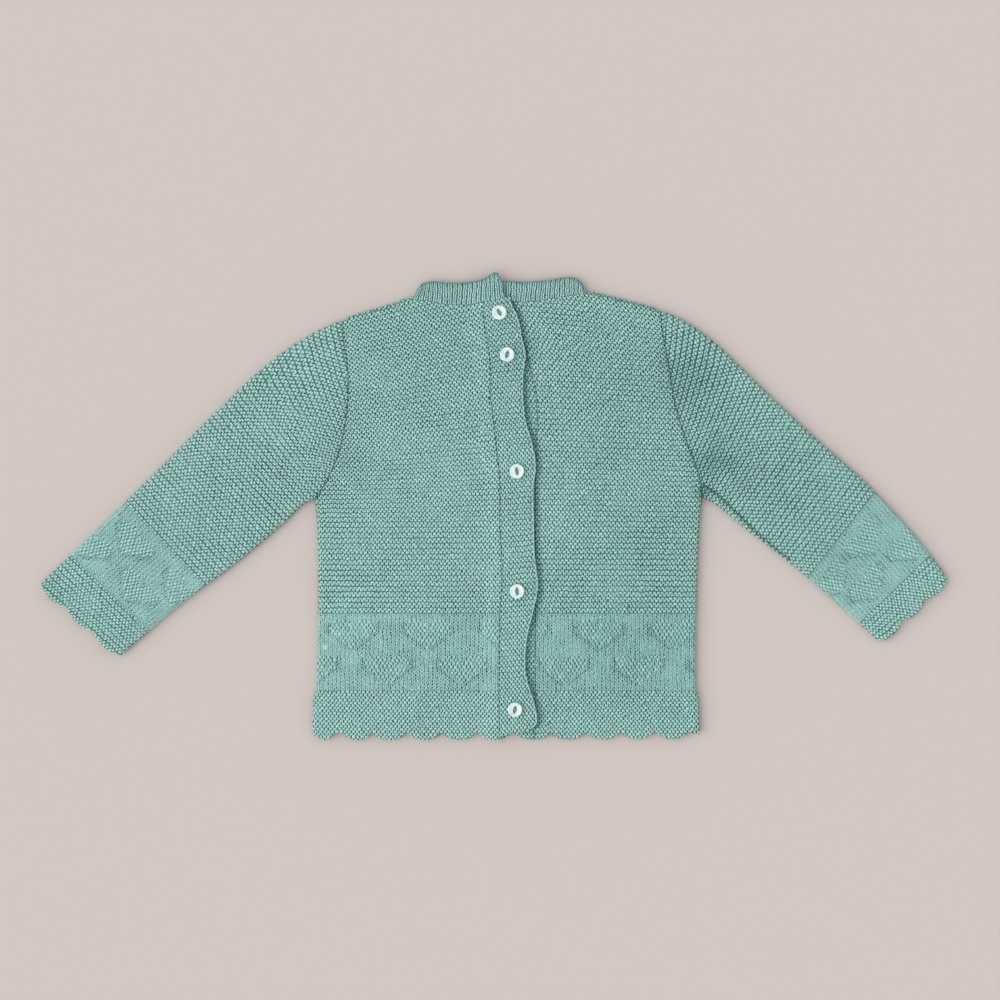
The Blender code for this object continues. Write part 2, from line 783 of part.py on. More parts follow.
def button_blank():
    """Turned disc with a low rim and a shallow dish."""
    mesh = bmesh.new()
    start = math.radians(FACET_TURN)
    profile = [
        mesh.verts.new((
            math.cos(start) * radius * BUTTON_DIAMETER / 2 * MM,
            math.sin(start) * radius * BUTTON_DIAMETER / 2 * MM,
            height * BUTTON_THICKNESS * MM,
        ))
        for radius, height in BUTTON_PROFILE
    ]
    edges = [mesh.edges.new(pair) for pair in zip(profile, profile[1:])]
    bmesh.ops.spin(
        mesh, geom=profile + edges, cent=(0, 0, 0), axis=(0, 0, 1), dvec=(0, 0, 0),
        angle=math.tau, steps=BUTTON_SIDES, use_merge=True,
    )
    bmesh.ops.remove_doubles(mesh, verts=mesh.verts, dist=DOUBLES_DISTANCE * MM)
    return place(mesh, "button_1", "pearl_button")


def build_buttons():
    """Two-hole buttons, each with an almond-shaped hollow round its holes."""
    first = button_blank()
    eye = bmesh.new()
    bmesh.ops.create_uvsphere(
        eye, u_segments=EYE_SEGMENTS, v_segments=EYE_RINGS, radius=0.5 * MM
    )
    bmesh.ops.scale(eye, vec=(EYE_WIDTH, EYE_LENGTH, 2 * EYE_DEPTH), verts=eye.verts)
    tools = [cutter("eye_cutter", eye, BUTTON_THICKNESS * EYE_LEVEL_SHARE)]
    for side in (-1, 1):
        hole = bmesh.new()
        bmesh.ops.create_cone(
            hole, cap_ends=True, segments=HOLE_SIDES, radius1=HOLE_DIAMETER / 2 * MM,
            radius2=HOLE_DIAMETER / 2 * MM, depth=HOLE_CUTTER_LENGTH * MM,
        )
        bmesh.ops.translate(hole, vec=(0.0, side * HOLE_SPACING / 2 * MM, 0.0), verts=hole.verts)
        tools.append(cutter("hole_cutter", hole, BUTTON_THICKNESS / 2))
    for tool in tools:
        cut = first.modifiers.new("cut", "BOOLEAN")
        cut.operation = "DIFFERENCE"
        cut.solver = "EXACT"
        cut.object = tool
    evaluated = first.evaluated_get(bpy.context.evaluated_depsgraph_get())
    drilled = bpy.data.meshes.new_from_object(evaluated)
    mesh = bmesh.new()
    mesh.from_mesh(drilled)
    bmesh.ops.remove_doubles(mesh, verts=mesh.verts, dist=DOUBLES_DISTANCE * MM)
    bmesh.ops.dissolve_degenerate(mesh, edges=mesh.edges, dist=DOUBLES_DISTANCE * MM)
    bmesh.ops.triangulate(mesh, faces=mesh.faces)
    mesh.to_mesh(drilled)
    mesh.free()
    drilled.shade_smooth()
    drilled.set_sharp_from_angle(angle=math.radians(BUTTON_SHARP_DEGREES))
    first.modifiers.clear()
    first.data = drilled
    for number, (x, y, turn) in enumerate(BUTTONS, start=1):
        button = first
        if number > 1:
            button = bpy.data.objects.new(f"button_{number}", drilled)
            bpy.context.scene.collection.objects.link(button)
        button.location = (x * MM, y * MM, BUTTON_HEIGHT * MM)
        button.rotation_euler = (0.0, 0.0, math.radians(turn))


def build_sweater():
    """All pieces of the sweater, from the bottom layer up."""
    clear_scene()
    build_front()
    build_back_left()
    build_back_right()
    build_sleeve("sleeve_left", SLEEVE_LEFT_TOP, SLEEVE_LEFT_UNDER, BODY_LEFT_EDGE, 1)
    build_sleeve("sleeve_right", SLEEVE_RIGHT_TOP, SLEEVE_RIGHT_UNDER, BODY_RIGHT_EDGE, -1)
    build_collar()
    build_bands()
    build_buttons()


build_sweater()
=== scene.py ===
"""Looks of a knitted baby sweater, laid flat on its front with the buttoned back up.

Each knitted piece is a closed thin shell on the form of its solid. Its outline is the solid's, its
points stand on the stitches, and the relief of the stitches is both in the mesh and, finer, in the
material, from the same formulas. Tables are in millimetres; MM turns them into metres.
"""

import logging
import math
from dataclasses import dataclass, field
from enum import Enum

import bmesh
import bpy
import numpy as np
from bpy.types import Material, Mesh, Node, NodeSocket, NodeTree, Object
from mathutils import Matrix, Vector
from mathutils.geometry import delaunay_2d_cdt
from mathutils.kdtree import KDTree


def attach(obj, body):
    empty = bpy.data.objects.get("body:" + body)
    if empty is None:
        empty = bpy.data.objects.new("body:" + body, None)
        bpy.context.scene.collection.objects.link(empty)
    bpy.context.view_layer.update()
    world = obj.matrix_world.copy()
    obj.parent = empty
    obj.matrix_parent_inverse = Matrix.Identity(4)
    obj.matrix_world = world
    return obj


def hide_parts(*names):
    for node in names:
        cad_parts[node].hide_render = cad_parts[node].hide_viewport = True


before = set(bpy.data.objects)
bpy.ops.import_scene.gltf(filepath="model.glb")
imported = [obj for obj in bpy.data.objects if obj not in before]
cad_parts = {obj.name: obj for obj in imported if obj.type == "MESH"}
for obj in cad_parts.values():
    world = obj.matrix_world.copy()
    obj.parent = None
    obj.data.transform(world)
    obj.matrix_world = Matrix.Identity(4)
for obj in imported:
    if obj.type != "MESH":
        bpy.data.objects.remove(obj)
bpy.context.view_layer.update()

MM = 0.001
LOG = logging.getLogger("sweater")

# Rows of numbers: as in the tables below, and as reckoned with
Table = tuple[tuple[float, ...], ...]
Array = np.ndarray

# Layers, as in the solids
CLOTH_WALL = 2.6
LAYER_GAP = 0.4
SEAM_GAP = 0.35
SEWN_GAP = 0.12
LAYER_STEP = CLOTH_WALL + LAYER_GAP
FOLD_OUTER = CLOTH_WALL + LAYER_GAP / 2
FOLD_INNER = LAYER_GAP / 2
MID_HEIGHT = FOLD_OUTER
OPENING_LIFT_REACH = 14.0
COLLAR_HEIGHT = 15.4
SLEEVE_LOFT = 1.2

# Scallops
HEM_NOTCH_HEIGHT = -158.5
HEM_SCALLOP_DEPTH = 4.9
HEM_TILT = 0.004
HEM_CORNER_SHARE = 0.2
HEM_CORNER_REACH = 10.0
HEM_LEFT_NOTCH = -110.2
HEM_LEFT_PITCH = 24.4
HEM_RIGHT_NOTCH = 40.4
HEM_RIGHT_PITCH = 24.1
HEM_FRONT_PITCH = 24.7
HEM_FIRST_GAP = 0.17
SCALLOP_FULLNESS = 0.5
SCALLOP_LEAN = 1.1
SCALLOP_GAP = 0.06
HEM_POINTS = 600
CUFF_SCALLOP_DEPTH = 3.4
CUFF_SCALLOPS = 3
CUFF_POINTS = 240

# Body, left of the picture: side seam from hem to underarm, then armhole to the shoulder tip
BODY_LEFT_EDGE = (
    # x, y
    (-127.2, -158.5), (-126.9, -155.7), (-126, -134), (-124.3, -124), (-122.8, -62),
    (-123.4, -14), (-124.6, 5.5), (-115.4, 20.5), (-107.4, 41.5), (-102.9, 66), (-102, 92),
    (-105, 115.5), (-106.3, 126.8), (-106.6, 129.6),
)
BODY_RIGHT_EDGE = (
    # x, y
    (144, -158.5), (143.8, -155.7), (142.7, -134), (140.9, -124), (141.4, -62),
    (143.4, -14), (145.4, 7), (143.8, 21.5), (134.6, 45.5), (127, 71), (122.6, 96.5),
    (118.2, 122), (116.8, 133.6), (116.5, 136.4),
)
ARMPIT_ROW = 6

NECK_LEFT = (
    # x, y, from the side of the neck to the seam of the buttonhole band
    (-58.8, 144.8), (-46.2, 143.9), (-36.4, 141.9), (-26.6, 141.1), (-16.8, 141.4), (-8, 142.7),
)
NECK_LEFT_OPENING = (
    # x, y, on to the end of the upper collar half
    (2.8, 144.6), (7.4, 146.6),
)
NECK_RIGHT = (
    # x, y, from the seam of the button band to the side of the neck
    (12.6, 143.7), (19.6, 142.9), (28.7, 143.9), (38.5, 145.3), (48.3, 146.7), (56.7, 148.2),
    (65.9, 149),
)
NECK_RIGHT_HIDDEN = (
    # x, y, under the upper collar half
    (-2.8, 142.9), (5, 143.3),
)
FRONT_NECK = (
    # x, y
    (-58.8, 144.8), (-50.5, 134.5), (-36, 125.5), (-17, 118.5), (3.5, 116), (25, 119),
    (44, 127), (58, 138), (65.9, 149),
)
SHOULDER_LEFT = (
    # x, y, from the shoulder tip to the neck
    (-106.6, 129.6), (-93.8, 134), (-71.4, 140.8), (-59.2, 145.9),
)
SHOULDER_RIGHT = (
    # x, y, from the neck to the shoulder tip
    (66.4, 149.4), (77, 147), (102.9, 140.6), (116.5, 136.4),
)
FRONT_SHOULDER_PEEP = 1.5

COLLAR_TOP_LEFT = (
    # x, y, from the left fold to the opening
    (-52.2, 155.6), (-44.8, 157.7), (-36, 157.1), (-26, 156.6), (-15.8, 157.4), (-7.4, 159.4),
    (1.4, 163.8), (5.2, 158.6),
)
COLLAR_TOP_RIGHT = (
    # x, y, from the hidden end to the right fold
    (-2.8, 157.6), (5, 158.2), (12.9, 157.9), (21.2, 157.3), (30.2, 157.8), (39.6, 158.8),
    (49, 160.3), (57, 160), (63, 155.2),
)

# Bands of the back opening
BUTTONHOLE_BAND = (
    # height, seam, free_edge
    (143, -7.6, 11.6), (132, -7, 16.8), (118, -5, 19.8), (106, -3, 22.1),
    (91, -2.4, 20.5), (76, -2.4, 20.6), (60, 0, 22.3), (45, 1.5, 26.5), (29, 3.2, 29.4),
    (14, 4.2, 27.7), (-9.5, 4.2, 27.9), (-32, 5.3, 28.4), (-56, 5.7, 30.8),
    (-76, 4.2, 26.8), (-96, 3.8, 22.6), (-118, 3.5, 22.6), (-138, 3.7, 28.4),
    (-151, 3.9, 30.1), (-157, 3.9, 23.8),
)
BUTTON_BAND_SEAM = (
    # height, seam
    (142.6, 13), (122, 18.5), (101, 24.5), (80, 29.2), (61, 30.4), (40, 29.4),
    (-18, 28.6), (-58, 29.2), (-110, 28.7), (-157, 29.4),
)
BAND_HEM = (
    # x, y
    (3.9, -161.6), (12, -158.6), (22, -157.8), (26, -156.6),
)
BUTTON_BAND_OVERHANG = 0.8

# Sleeves: the fold along the top and along the underarm, from body to cuff
SLEEVE_LEFT_TOP = (
    # x, y
    (-107, 129.5), (-112.4, 127.9), (-127.4, 120.6), (-149.8, 106.6), (-173.6, 86.4),
    (-203, 58), (-238, 23), (-273.7, -12), (-303.8, -41), (-317.4, -53.9),
)
SLEEVE_LEFT_UNDER = (
    # x, y
    (-125, 5.3), (-134.4, 1.2), (-148.2, -12.4), (-182.3, -40.8), (-220, -69),
    (-261.4, -104.2),
)
SLEEVE_RIGHT_TOP = (
    # x, y
    (116.9, 136.4), (123.9, 134.4), (137.2, 127.4), (154.7, 114.4), (177.1, 93.2), (199.5, 71.6),
    (229.6, 43.8), (261.1, 15.8), (289.6, -14.4), (304.6, -32.6), (317.5, -50.4),
)
SLEEVE_RIGHT_UNDER = (
    # x, y
    (145.8, 6.8), (157, 0.4), (172.2, -12.3), (209, -40.7), (240, -67.8), (269.6, -94.4),
)

# How the rows of stitches run: a line across the rows, with the row through each of its points
LEFT_BACK_ROWS = (
    # x, y, course, row_degrees, bend, wale_pitch
    (4, -166, -4, 180, 0, 2.92), (4, -158.5, 0, 180, 0, 2.92),
    (3.8, -129.1, 16, 180, 0, 2.92), (4.2, -74.6, 40, 180, 0, 2.92),
    (4.2, -10, 74, 181, -1, 2.96), (3, 39, 100, 187, -5, 3.04),
    (-2.4, 100, 132, 191, -3, 3.14), (-8, 150, 160, 193, 0, 3.18),
    (-14, 196, 185, 193, 0, 3.18),
)
RIGHT_BACK_ROWS = (
    # x, y, course, row_degrees, bend, wale_pitch
    (29.2, -166, -4, 0, 0, 2.92), (29.2, -158.5, 0, 0, 0, 2.92),
    (28.8, -129.1, 16, 0, 0, 2.92), (28.9, -74.6, 40, 0, 0, 2.92),
    (28.8, -10, 74, -0.5, 0, 2.96), (29.4, 39, 100, -2, 0, 3.04),
    (24.5, 100, 132, -2.5, -2, 3.2), (13, 152, 160, -5, -4, 3.28),
    (4, 196, 184, -5, -4, 3.28),
)
FRONT_ROWS = (
    # x, y, course, row_degrees, bend, wale_pitch
    (9, -166, -4, 180, 0, 2.92), (9, -158.5, 0, 180, 0, 2.92),
    (9, -129.1, 16, 180, 0, 2.92), (9, -74.6, 40, 180, 0, 2.92),
    (9, 162, 165, 180, 0, 3),
)
LEFT_SLEEVE_ROWS = (
    # x, y, course, row_degrees, bend, wale_pitch, from cuff to armhole
    (-293.6, -82.6, -3, 138, 0, 2.74), (-287.6, -77.4, 1, 138, 0, 2.74),
    (-268.8, -60.6, 15, 136, 0, 2.76), (-230.3, -26.3, 39, 133.5, 0, 2.84),
    (-173.6, 24.9, 80, 132, -2, 3), (-140, 53, 105, 125, -10, 3.04),
    (-115.5, 68, 121, 113, -15, 3.08), (-95, 76, 133, 108, -15, 3.08),
    (-60, 84, 152, 104, -15, 3.08),
)
RIGHT_SLEEVE_ROWS = (
    # x, y, course, row_degrees, bend, wale_pitch, from cuff to armhole
    (297.4, -75.9, -3, 41, 0, 2.74), (291, -70.6, 1, 41, 0, 2.74),
    (278.6, -60, 10, 44, 0, 2.74), (242.2, -20.6, 34, 52, 0, 2.8),
    (190, 30, 72, 57, 2, 2.95), (160, 53, 94, 64, 9, 3.04),
    (137, 66, 109, 71, 16, 3.06), (118, 74, 121, 75, 20, 3.08),
    (80, 82, 142, 80, 20, 3.08),
)
BUTTONHOLE_BAND_ROWS = (
    # x, y, course, row_degrees, bend, wale_pitch
    (3.9, -166, 0, 4, 0, 2.75), (4.2, -80, 45, 5, 0, 2.75),
    (3.2, 29, 103, 6, 0, 2.75), (-3, 106, 145, 8, 0, 2.8),
    (-8, 152, 171, 12, 0, 2.8),
)
BUTTON_BAND_ROWS = (
    # x, y, course, row_degrees, bend, wale_pitch
    (29.3, -166, 0, 180, 0, 2.8), (28.8, -60, 56, 180, 0, 2.8),
    (29.4, 60, 119, 180, 0, 2.8), (13, 150, 168, 180, 0, 2.8),
)

# Knitting: the plain stretch between the garter borders, and its hearts
BODY_PLAIN = (16.0, 40.0)
LEFT_SLEEVE_PLAIN = (15.0, 39.0)
RIGHT_SLEEVE_PLAIN = (10.0, 34.0)
HEART_CHART = (
    # a row for each course from the point up, # for a purl stitch
    ".....#.....",
    "....###....",
    "...#####...",
    "..#######..",
    ".#########.",
    "###########",
    "###########",
    "#####.#####",
    ".###...###.",
)
HEARTS_LEFT_BACK = (
    # wale, course of the point
    (8.9, 18), (26.9, 18), (44.9, 18), (-0.9, 29), (17.3, 29), (35.3, 29),
)
HEARTS_RIGHT_BACK = (
    # wale, course of the point
    (6.9, 18), (24.8, 18), (42.6, 18), (-2.6, 29), (15.4, 29), (33.3, 29),
)
HEARTS_FRONT = (
    # wale, course of the point
    (-36, 18), (-18, 18), (0, 18), (18, 18), (36, 18), (-45, 29),
    (-27, 29), (-9, 29), (9, 29), (27, 29), (45, 29),
)
HEARTS_LEFT_SLEEVE = (
    # wale, course of the point
    (-11, 27), (5.6, 27), (-3.6, 17), (12.6, 17),
)
HEARTS_RIGHT_SLEEVE = (
    # wale, course of the point
    (-9.2, 22), (4, 22), (-3.4, 12), (11, 12),
)

# Seams that show inside a piece, and soft folds of the upper layer
RIGHT_SLEEVE_SEAM = (
    # x, y, underarm seam, turned a little on to the upper side
    (146.6, 15.4), (155.4, 9.4), (163.8, 1.8), (173.6, -8), (184.1, -18.6), (196.7, -29),
    (207.2, -37.4),
)
FOLDS = (
    # start_x, start_y, end_x, end_y, half_width, height
    (152, 52, 166, 12, 9, 1.6), (-140, 40, -172, -8, 12, 0.9),
    (158, 30, 196, -6, 7, 0.5), (222, 12, 232, -36, 12, 0.5),
    (-205, 30, -226, -40, 14, 0.4), (-118, 40, -98, 12, 7, 0.5),
    (134, 30, 108, 2, 9, 0.4), (-80, -100, -60, 60, 26, 0.3),
    (90, -90, 84, 90, 30, 0.3),
)
FRONT_FOLDS = (
    # start_x, start_y, end_x, end_y, half_width, height
    (-70, -120, -50, 80, 18, 0.5), (60, -90, 82, 60, 14, 0.6),
    (-112, 20, -80, -20, 10, 0.5), (128, 18, 96, -14, 10, 0.5),
)
OPEN_SPOTS = (
    # x, y, reach, amount: where the knitting is drawn open or lies closed
    (-90, 62, 20, 0.22), (-98, 32, 14, 0.30), (-112, 12, 6, 0.20),
    (-60, 118, 30, 0.14), (-20, 100, 34, 0.09), (60, 105, 46, 0.22),
    (40, 134, 16, 0.10), (-40, 132, 16, 0.08), (100, 96, 24, 0.06),
    (128, 20, 14, -0.14), (-100, -60, 26, -0.10), (-70, -88, 20, 0.10),
    (-98, -100, 20, -0.12), (-30, -118, 20, 0.08), (70, -60, 30, -0.10),
    (60, -145, 40, 0.06), (-40, -150, 50, 0.10), (-205, 10, 30, 0.08),
    (-250, -44, 20, 0.16), (260, -40, 20, 0.12), (292, -62, 14, 0.10),
)
FURROW_SPOTS = (
    # x, y, reach, amount: where the ridges of garter stitch stand apart or close up
    (-110, -60, 26, 0.45), (-60, -64, 30, 0.20), (120, -40, 30, 0.40),
    (60, -64, 30, 0.25), (-104, -10, 20, 0.30), (-116, 12, 9, 0.60),
    (-160, 10, 26, 0.40), (-205, 10, 22, -0.30), (-250, -26, 18, 0.30),
    (142, 90, 30, 0.30), (160, 16, 26, 0.40), (206, 10, 24, 0.35),
    (255, -60, 22, -0.20), (296, -60, 20, -0.60), (-290, -70, 18, -0.30),
    (-90, -144, 44, -0.40), (0, -146, 44, -0.30), (90, -144, 50, -0.35),
    (152, 32, 13, 0.60),
)
TONE_SPOTS = (
    # x, y, reach, amount: broad shade, and the dark corner under an arm
    (146, 9, 5, -0.35), (-124, 8, 3.5, -0.20), (153, 30, 10, -0.20),
    (160, 46, 22, -0.08), (134, 90, 22, -0.15), (80, 90, 60, -0.06),
    (92, -96, 60, -0.09), (100, 0, 50, -0.05), (-40, 110, 50, -0.04),
    (-104, 30, 10, -0.06), (-150, 20, 40, 0.03), (-240, -50, 60, 0.03),
    (210, 10, 50, -0.05), (-4, 150, 9, -0.04), (12, 151, 5, -0.25),
)

BUTTONS = (
    # x, y, turn_degrees
    (3.7, 135.4, 28), (9.2, 106.1, -14), (16, 24.6, 10), (16.1, -59.2, 6),
    (14.6, -141.8, -12),
)
BUTTON_DIAMETER = 10.2
BUTTON_THICKNESS = 2.5
BUTTON_BASE = 2 * LAYER_STEP + CLOTH_WALL + SEAM_GAP
HOLE_SPACING = 2.5
HOLE_DIAMETER = 1.1

# Camera and picture
PICTURE_PIXELS = 1000
PIXEL_SIZE = 0.70
CENTRE_X = 4.2
CENTRE_Y = 4.55
LENS = 85.0
SENSOR = 36.0
FOCUS_HEIGHT = 5.0

# How lines are made fine and measured
MEASURING_STEP = 0.5
SECTION_STEPS = 8
SEAM_POINTS = 300
BAND_POINTS = 400
COLLAR_STEPS = 10
FRONT_NECK_POINTS = 60

# Stitches: half sizes are in wales and rows, heights are shares of the relief
SLIT_SIZE = (0.15, 0.34)
SLIT_DEPTH = 2.5
LOOP_SIZE = (0.40, 0.26)
LOOP_LEVEL = 0.64
LOOP_SPREAD = 0.25
GARTER_ROUND = 0.36
GARTER_ODD = 0.8
FURROW_HALF = 0.16
FURROW_DEPTH = 0.60
PURL_ROUND = 0.19
PURL_SLIT = 0.7
PURL_RAISED = 0.04
PLAIN_LEVEL = 0.63
PLAIN_ROUND = 0.34
PLAIN_SPLIT = 0.06
SPLIT_BY_FURROW = 0.2
GROOVE_HALF = 0.2
GROOVE_BY_SLIT = 0.15
GROOVE_BY_SPLIT = 1.1
LEG_GROOVE_HALF = 0.15
PIT_SIZE = (0.17, 0.34)
PIT_SHIFT = 0.1
PIT_DEPTH = 3.0
LEG_PIT_SIZE = (0.13, 0.32)
LEG_PIT_SHIFT = 0.4
LEG_PIT_SHARE = 0.6

# Stitches drawn open beside a heart, and down the slopes to its point
HEART_SIDE_OUT = 5.9
HEART_SIDE_WIDTH = 0.45
HEART_SIDE_UP = 6.4
HEART_SIDE_TALL = 1.7
HEART_SIDE_OPEN = 0.75
HEART_SLOPE_OUT = 0.9
HEART_SLOPE_WIDTH = 0.55
HEART_SLOPE_LOW = -0.5
HEART_SLOPE_HIGH = 5.5
HEART_LEFT_OPEN = 0.55
HEART_RIGHT_OPEN = (0.4, 0.2)
# Painted shade in the drawn-open stitches round the hearts
HEART_PAINTED_SHADE = 0.08

# Unevenness: by_x, by_y and shift of its sines, then rows of amount, size and seed
UNEVEN_WAVES = ((1.9, 1.3, 1.0), (-1.1, 2.3, 2.1), (2.9, -0.7, 3.7), (0.6, 3.1, 5.3))
SLIT_WAVES = ((0.12, 29.0, 0.4), (0.15, 8.0, 1.7))
FURROW_WAVES = ((0.25, 21.0, 1.1),)
WALE_WAVES = ((0.14, 7.3, 0.9), (0.09, 2.7, 2.9))
COURSE_WAVES = ((0.16, 6.1, 2.2), (0.10, 2.9, 0.2))
COLLAR_WALE_WAVES = ((0.05, 5.0, 0.3),)
COLLAR_COURSE_WAVES = ((0.05, 5.0, 1.3),)
SLIT_RANGE = (0.15, 1.1)
FURROW_RANGE = (0.0, 1.1)
PLAIN_FURROW = 0.3

# Relief in the mesh: its depth, the share of it that lies level with the wall, and the share of
# the wall at which it is gone
RELIEF_DEPTH = 0.75
CREST = 0.9
FLAT_SHARE = 0.45

# Counting of stitches: rows of the fine table, those looked through first, and Newton's rule
DENSE_ROWS = 900
COARSE_STEP = 30
NEWTON_STEP = 0.01
NEWTON_ROUNDS = 14

# Mesh: spacing of outline points, rows beside the outline, and clear margin of the stitch points
EDGE_SPACING = 0.85
EDGE_ROWS = (0.35, 0.85, 1.45)
STITCH_MARGIN = 1.95
HIDDEN_SPACING = 4.5
TOOTH = 0.65
TOOTH_GROWTH = 0.2
CLEAR_SHARE = 0.86
CLOSEST = 1e-7


class Kind(Enum):
    """What an edge of a knitted piece is."""

    FREE = "free"
    FOLD = "fold"
    SEAM = "seam"
    NECK = "neck"
    JOIN = "join"


# ---- plan geometry


def at_length(points: Array, fractions: Array) -> Array:
    """Points at fractions of a broken line's length.

    Args:
        points: The line's points, one row each.
        fractions: Shares of the length, from 0 to 1.

    Returns:
        One point for each fraction.
    """
    points = np.asarray(points, dtype=float)
    steps = np.hypot(*np.diff(points, axis=0).T)
    reached = np.concatenate(([0.0], np.cumsum(steps)))
    wanted = np.asarray(fractions) * reached[-1]
    return np.stack([np.interp(wanted, reached, points[:, axis]) for axis in (0, 1)], axis=1)


def length_of(points: Array) -> float:
    """Length of a broken line."""
    return float(np.hypot(*np.diff(np.asarray(points, dtype=float), axis=0).T).sum())


def evenly(points: Array, spacing: float) -> Array:
    """A broken line with points about a spacing apart, its ends kept."""
    count = max(2, round(length_of(points) / spacing) + 1)
    return at_length(points, np.linspace(0.0, 1.0, count))


def smooth(points: Table | Array, steps: int = 12) -> Array:
    """Catmull-Rom curve through a table's points, as a fine broken line.

    Args:
        points: Rows of x and y.
        steps: Parts of each span.

    Returns:
        The fine line.
    """
    points = np.asarray(points, dtype=float)
    ends = np.vstack((2 * points[0] - points[1], points, 2 * points[-1] - points[-2]))
    along = np.linspace(0.0, 1.0, steps, endpoint=False)[:, None]
    spans = []
    for before, start, end, after in zip(ends, ends[1:], ends[2:], ends[3:]):
        spans.append(0.5 * (
            2 * start
            + (end - before) * along
            + (2 * before - 5 * start + 4 * end - after) * along**2
            + (3 * start - before - 3 * end + after) * along**3
        ))
    return np.vstack((*spans, points[-1:]))


def beside(points: Array, ways: Array, distance: float) -> Array:
    """Points moved to the left of their ways by a distance."""
    ways = ways / np.linalg.norm(ways, axis=1)[:, None]
    return points + distance * np.stack((-ways[:, 1], ways[:, 0]), axis=1)


def offset(points: Array, distance: float) -> Array:
    """A broken line moved to its left by a distance, seen along its way."""
    points = np.asarray(points, dtype=float)
    return beside(points, np.gradient(points, axis=0), distance)


def inside(loop: Array, points: Array) -> Array:
    """Which points lie inside a closed loop.

    Args:
        loop: Corners of the loop in order.
        points: Points to test.

    Returns:
        A truth value for each point.
    """
    result = np.zeros(len(points), dtype=bool)
    x, y = points[:, 0], points[:, 1]
    for (ax, ay), (bx, by) in zip(loop, np.roll(loop, -1, axis=0)):
        if ay == by:
            continue
        crosses = (ay > y) != (by > y)
        result ^= crosses & (x < (bx - ax) * (y - ay) / (by - ay) + ax)
    return result


def nearest_on(line: Array, points: Array) -> tuple[Array, Array]:
    """Distance of each point from a broken line, and how far along the line that is.

    Args:
        line: The line's points.
        points: Points to measure.

    Returns:
        Distances, and lengths along the line.
    """
    dense = evenly(line, MEASURING_STEP)
    tree = KDTree(len(dense))
    for number, (x, y) in enumerate(dense):
        tree.insert((x, y, 0.0), number)
    tree.balance()
    close = np.array([tree.find((x, y, 0.0))[1] for x, y in points], dtype=int)
    step = length_of(dense) / (len(dense) - 1)
    best = np.full(len(points), np.inf)
    along = np.zeros(len(points))
    for shift in (-1, 0):
        start = np.clip(close + shift, 0, len(dense) - 2)
        way = dense[start + 1] - dense[start]
        reach = ((points - dense[start]) * way).sum(axis=1) / (way * way).sum(axis=1)
        reach = np.clip(reach, 0.0, 1.0)
        away = np.linalg.norm(points - dense[start] - reach[:, None] * way, axis=1)
        nearer = away < best
        best[nearer] = away[nearer]
        along[nearer] = (start + reach)[nearer] * step
    return best, along


def distance_to(line: Array, points: Array) -> Array:
    """Distance of each point from a broken line."""
    return nearest_on(line, points)[0]


def area_of(loop: Array) -> float:
    """Area inside a closed loop, signed: positive when it runs against the clock."""
    following = np.roll(loop, -1, axis=0)
    return 0.5 * float((loop[:, 0] * following[:, 1] - loop[:, 1] * following[:, 0]).sum())


def smoothstep(value: Array) -> Array:
    """Soft step from 0 to 1."""
    value = np.clip(value, 0.0, 1.0)
    return value * value * (3 - 2 * value)


def bell(away: Array, reach: float) -> Array:
    """Soft bump: 1 where away is 0, and about a third of that at its reach."""
    return np.exp(-((away / reach) ** 2))


def scalloped(phase: Array) -> Array:
    """Way along a scallop, 0 and 1 being at the edges of the gaps beside it."""
    return np.clip((phase - SCALLOP_GAP) / (1 - 2 * SCALLOP_GAP), 0.0, 1.0)


def hem_height(xs: Array, first_notch: float, pitch: float, wide: float) -> Array:
    """Height of the scalloped hem, rounding off towards both sides of the body.

    Args:
        xs: Places along X.
        first_notch: Place of the first notch.
        pitch: Spacing of the notches.
        wide: Share of the pitch by which the first gap is wider than the others.

    Returns:
        A height for each place.
    """
    count = (xs - first_notch) / pitch
    late = np.where(np.floor(count) == 0, wide, 0.0)
    phase = scalloped(np.maximum(count % 1.0 - late, 0.0) / (1 - late))
    drop = np.sin(np.pi * phase**SCALLOP_LEAN) ** SCALLOP_FULLNESS
    to_side = np.minimum(xs - BODY_LEFT_EDGE[0][0], BODY_RIGHT_EDGE[0][0] - xs)
    drop = drop * np.clip(HEM_CORNER_SHARE + to_side / HEM_CORNER_REACH, 0.0, 1.0)
    return HEM_NOTCH_HEIGHT + HEM_TILT * xs - HEM_SCALLOP_DEPTH * drop


def hem_line(
    start: float, end: float, first_notch: float, pitch: float, wide: float = 0.0
) -> Array:
    """Scalloped hem between two places along X."""
    xs = np.linspace(start, end, HEM_POINTS)
    return np.stack((xs, hem_height(xs, first_notch, pitch, wide)), axis=1)


def section_line(table: Table, column: int, heights: Array) -> Array:
    """Edge of a band at given heights, from a table of sections."""
    rows = smooth([(row[column], row[0]) for row in sorted(table)], SECTION_STEPS)
    return np.stack((np.interp(heights, rows[:, 1], rows[:, 0]), heights), axis=1)


def topped(xs: Array, line: Array) -> Array:
    """Points at places along X, with the heights of a line that runs along X."""
    return np.stack((xs, np.interp(xs, line[:, 0], line[:, 1])), axis=1)


def folds_rise(plan: Array, folds: Table) -> Array:
    """Height that soft folds add at points of the plan.

    Args:
        plan: Points in plan.
        folds: Rows of start, end, half width and height.

    Returns:
        A height for each point.
    """
    rise = np.zeros(len(plan))
    for start_x, start_y, end_x, end_y, half_width, height in folds:
        start = np.array((start_x, start_y))
        way = np.array((end_x, end_y)) - start
        reach = np.clip(((plan - start) @ way) / (way @ way), 0.0, 1.0)
        away = np.linalg.norm(plan - start - reach[:, None] * way, axis=1)
        rise += height * bell(away, half_width)
    return rise


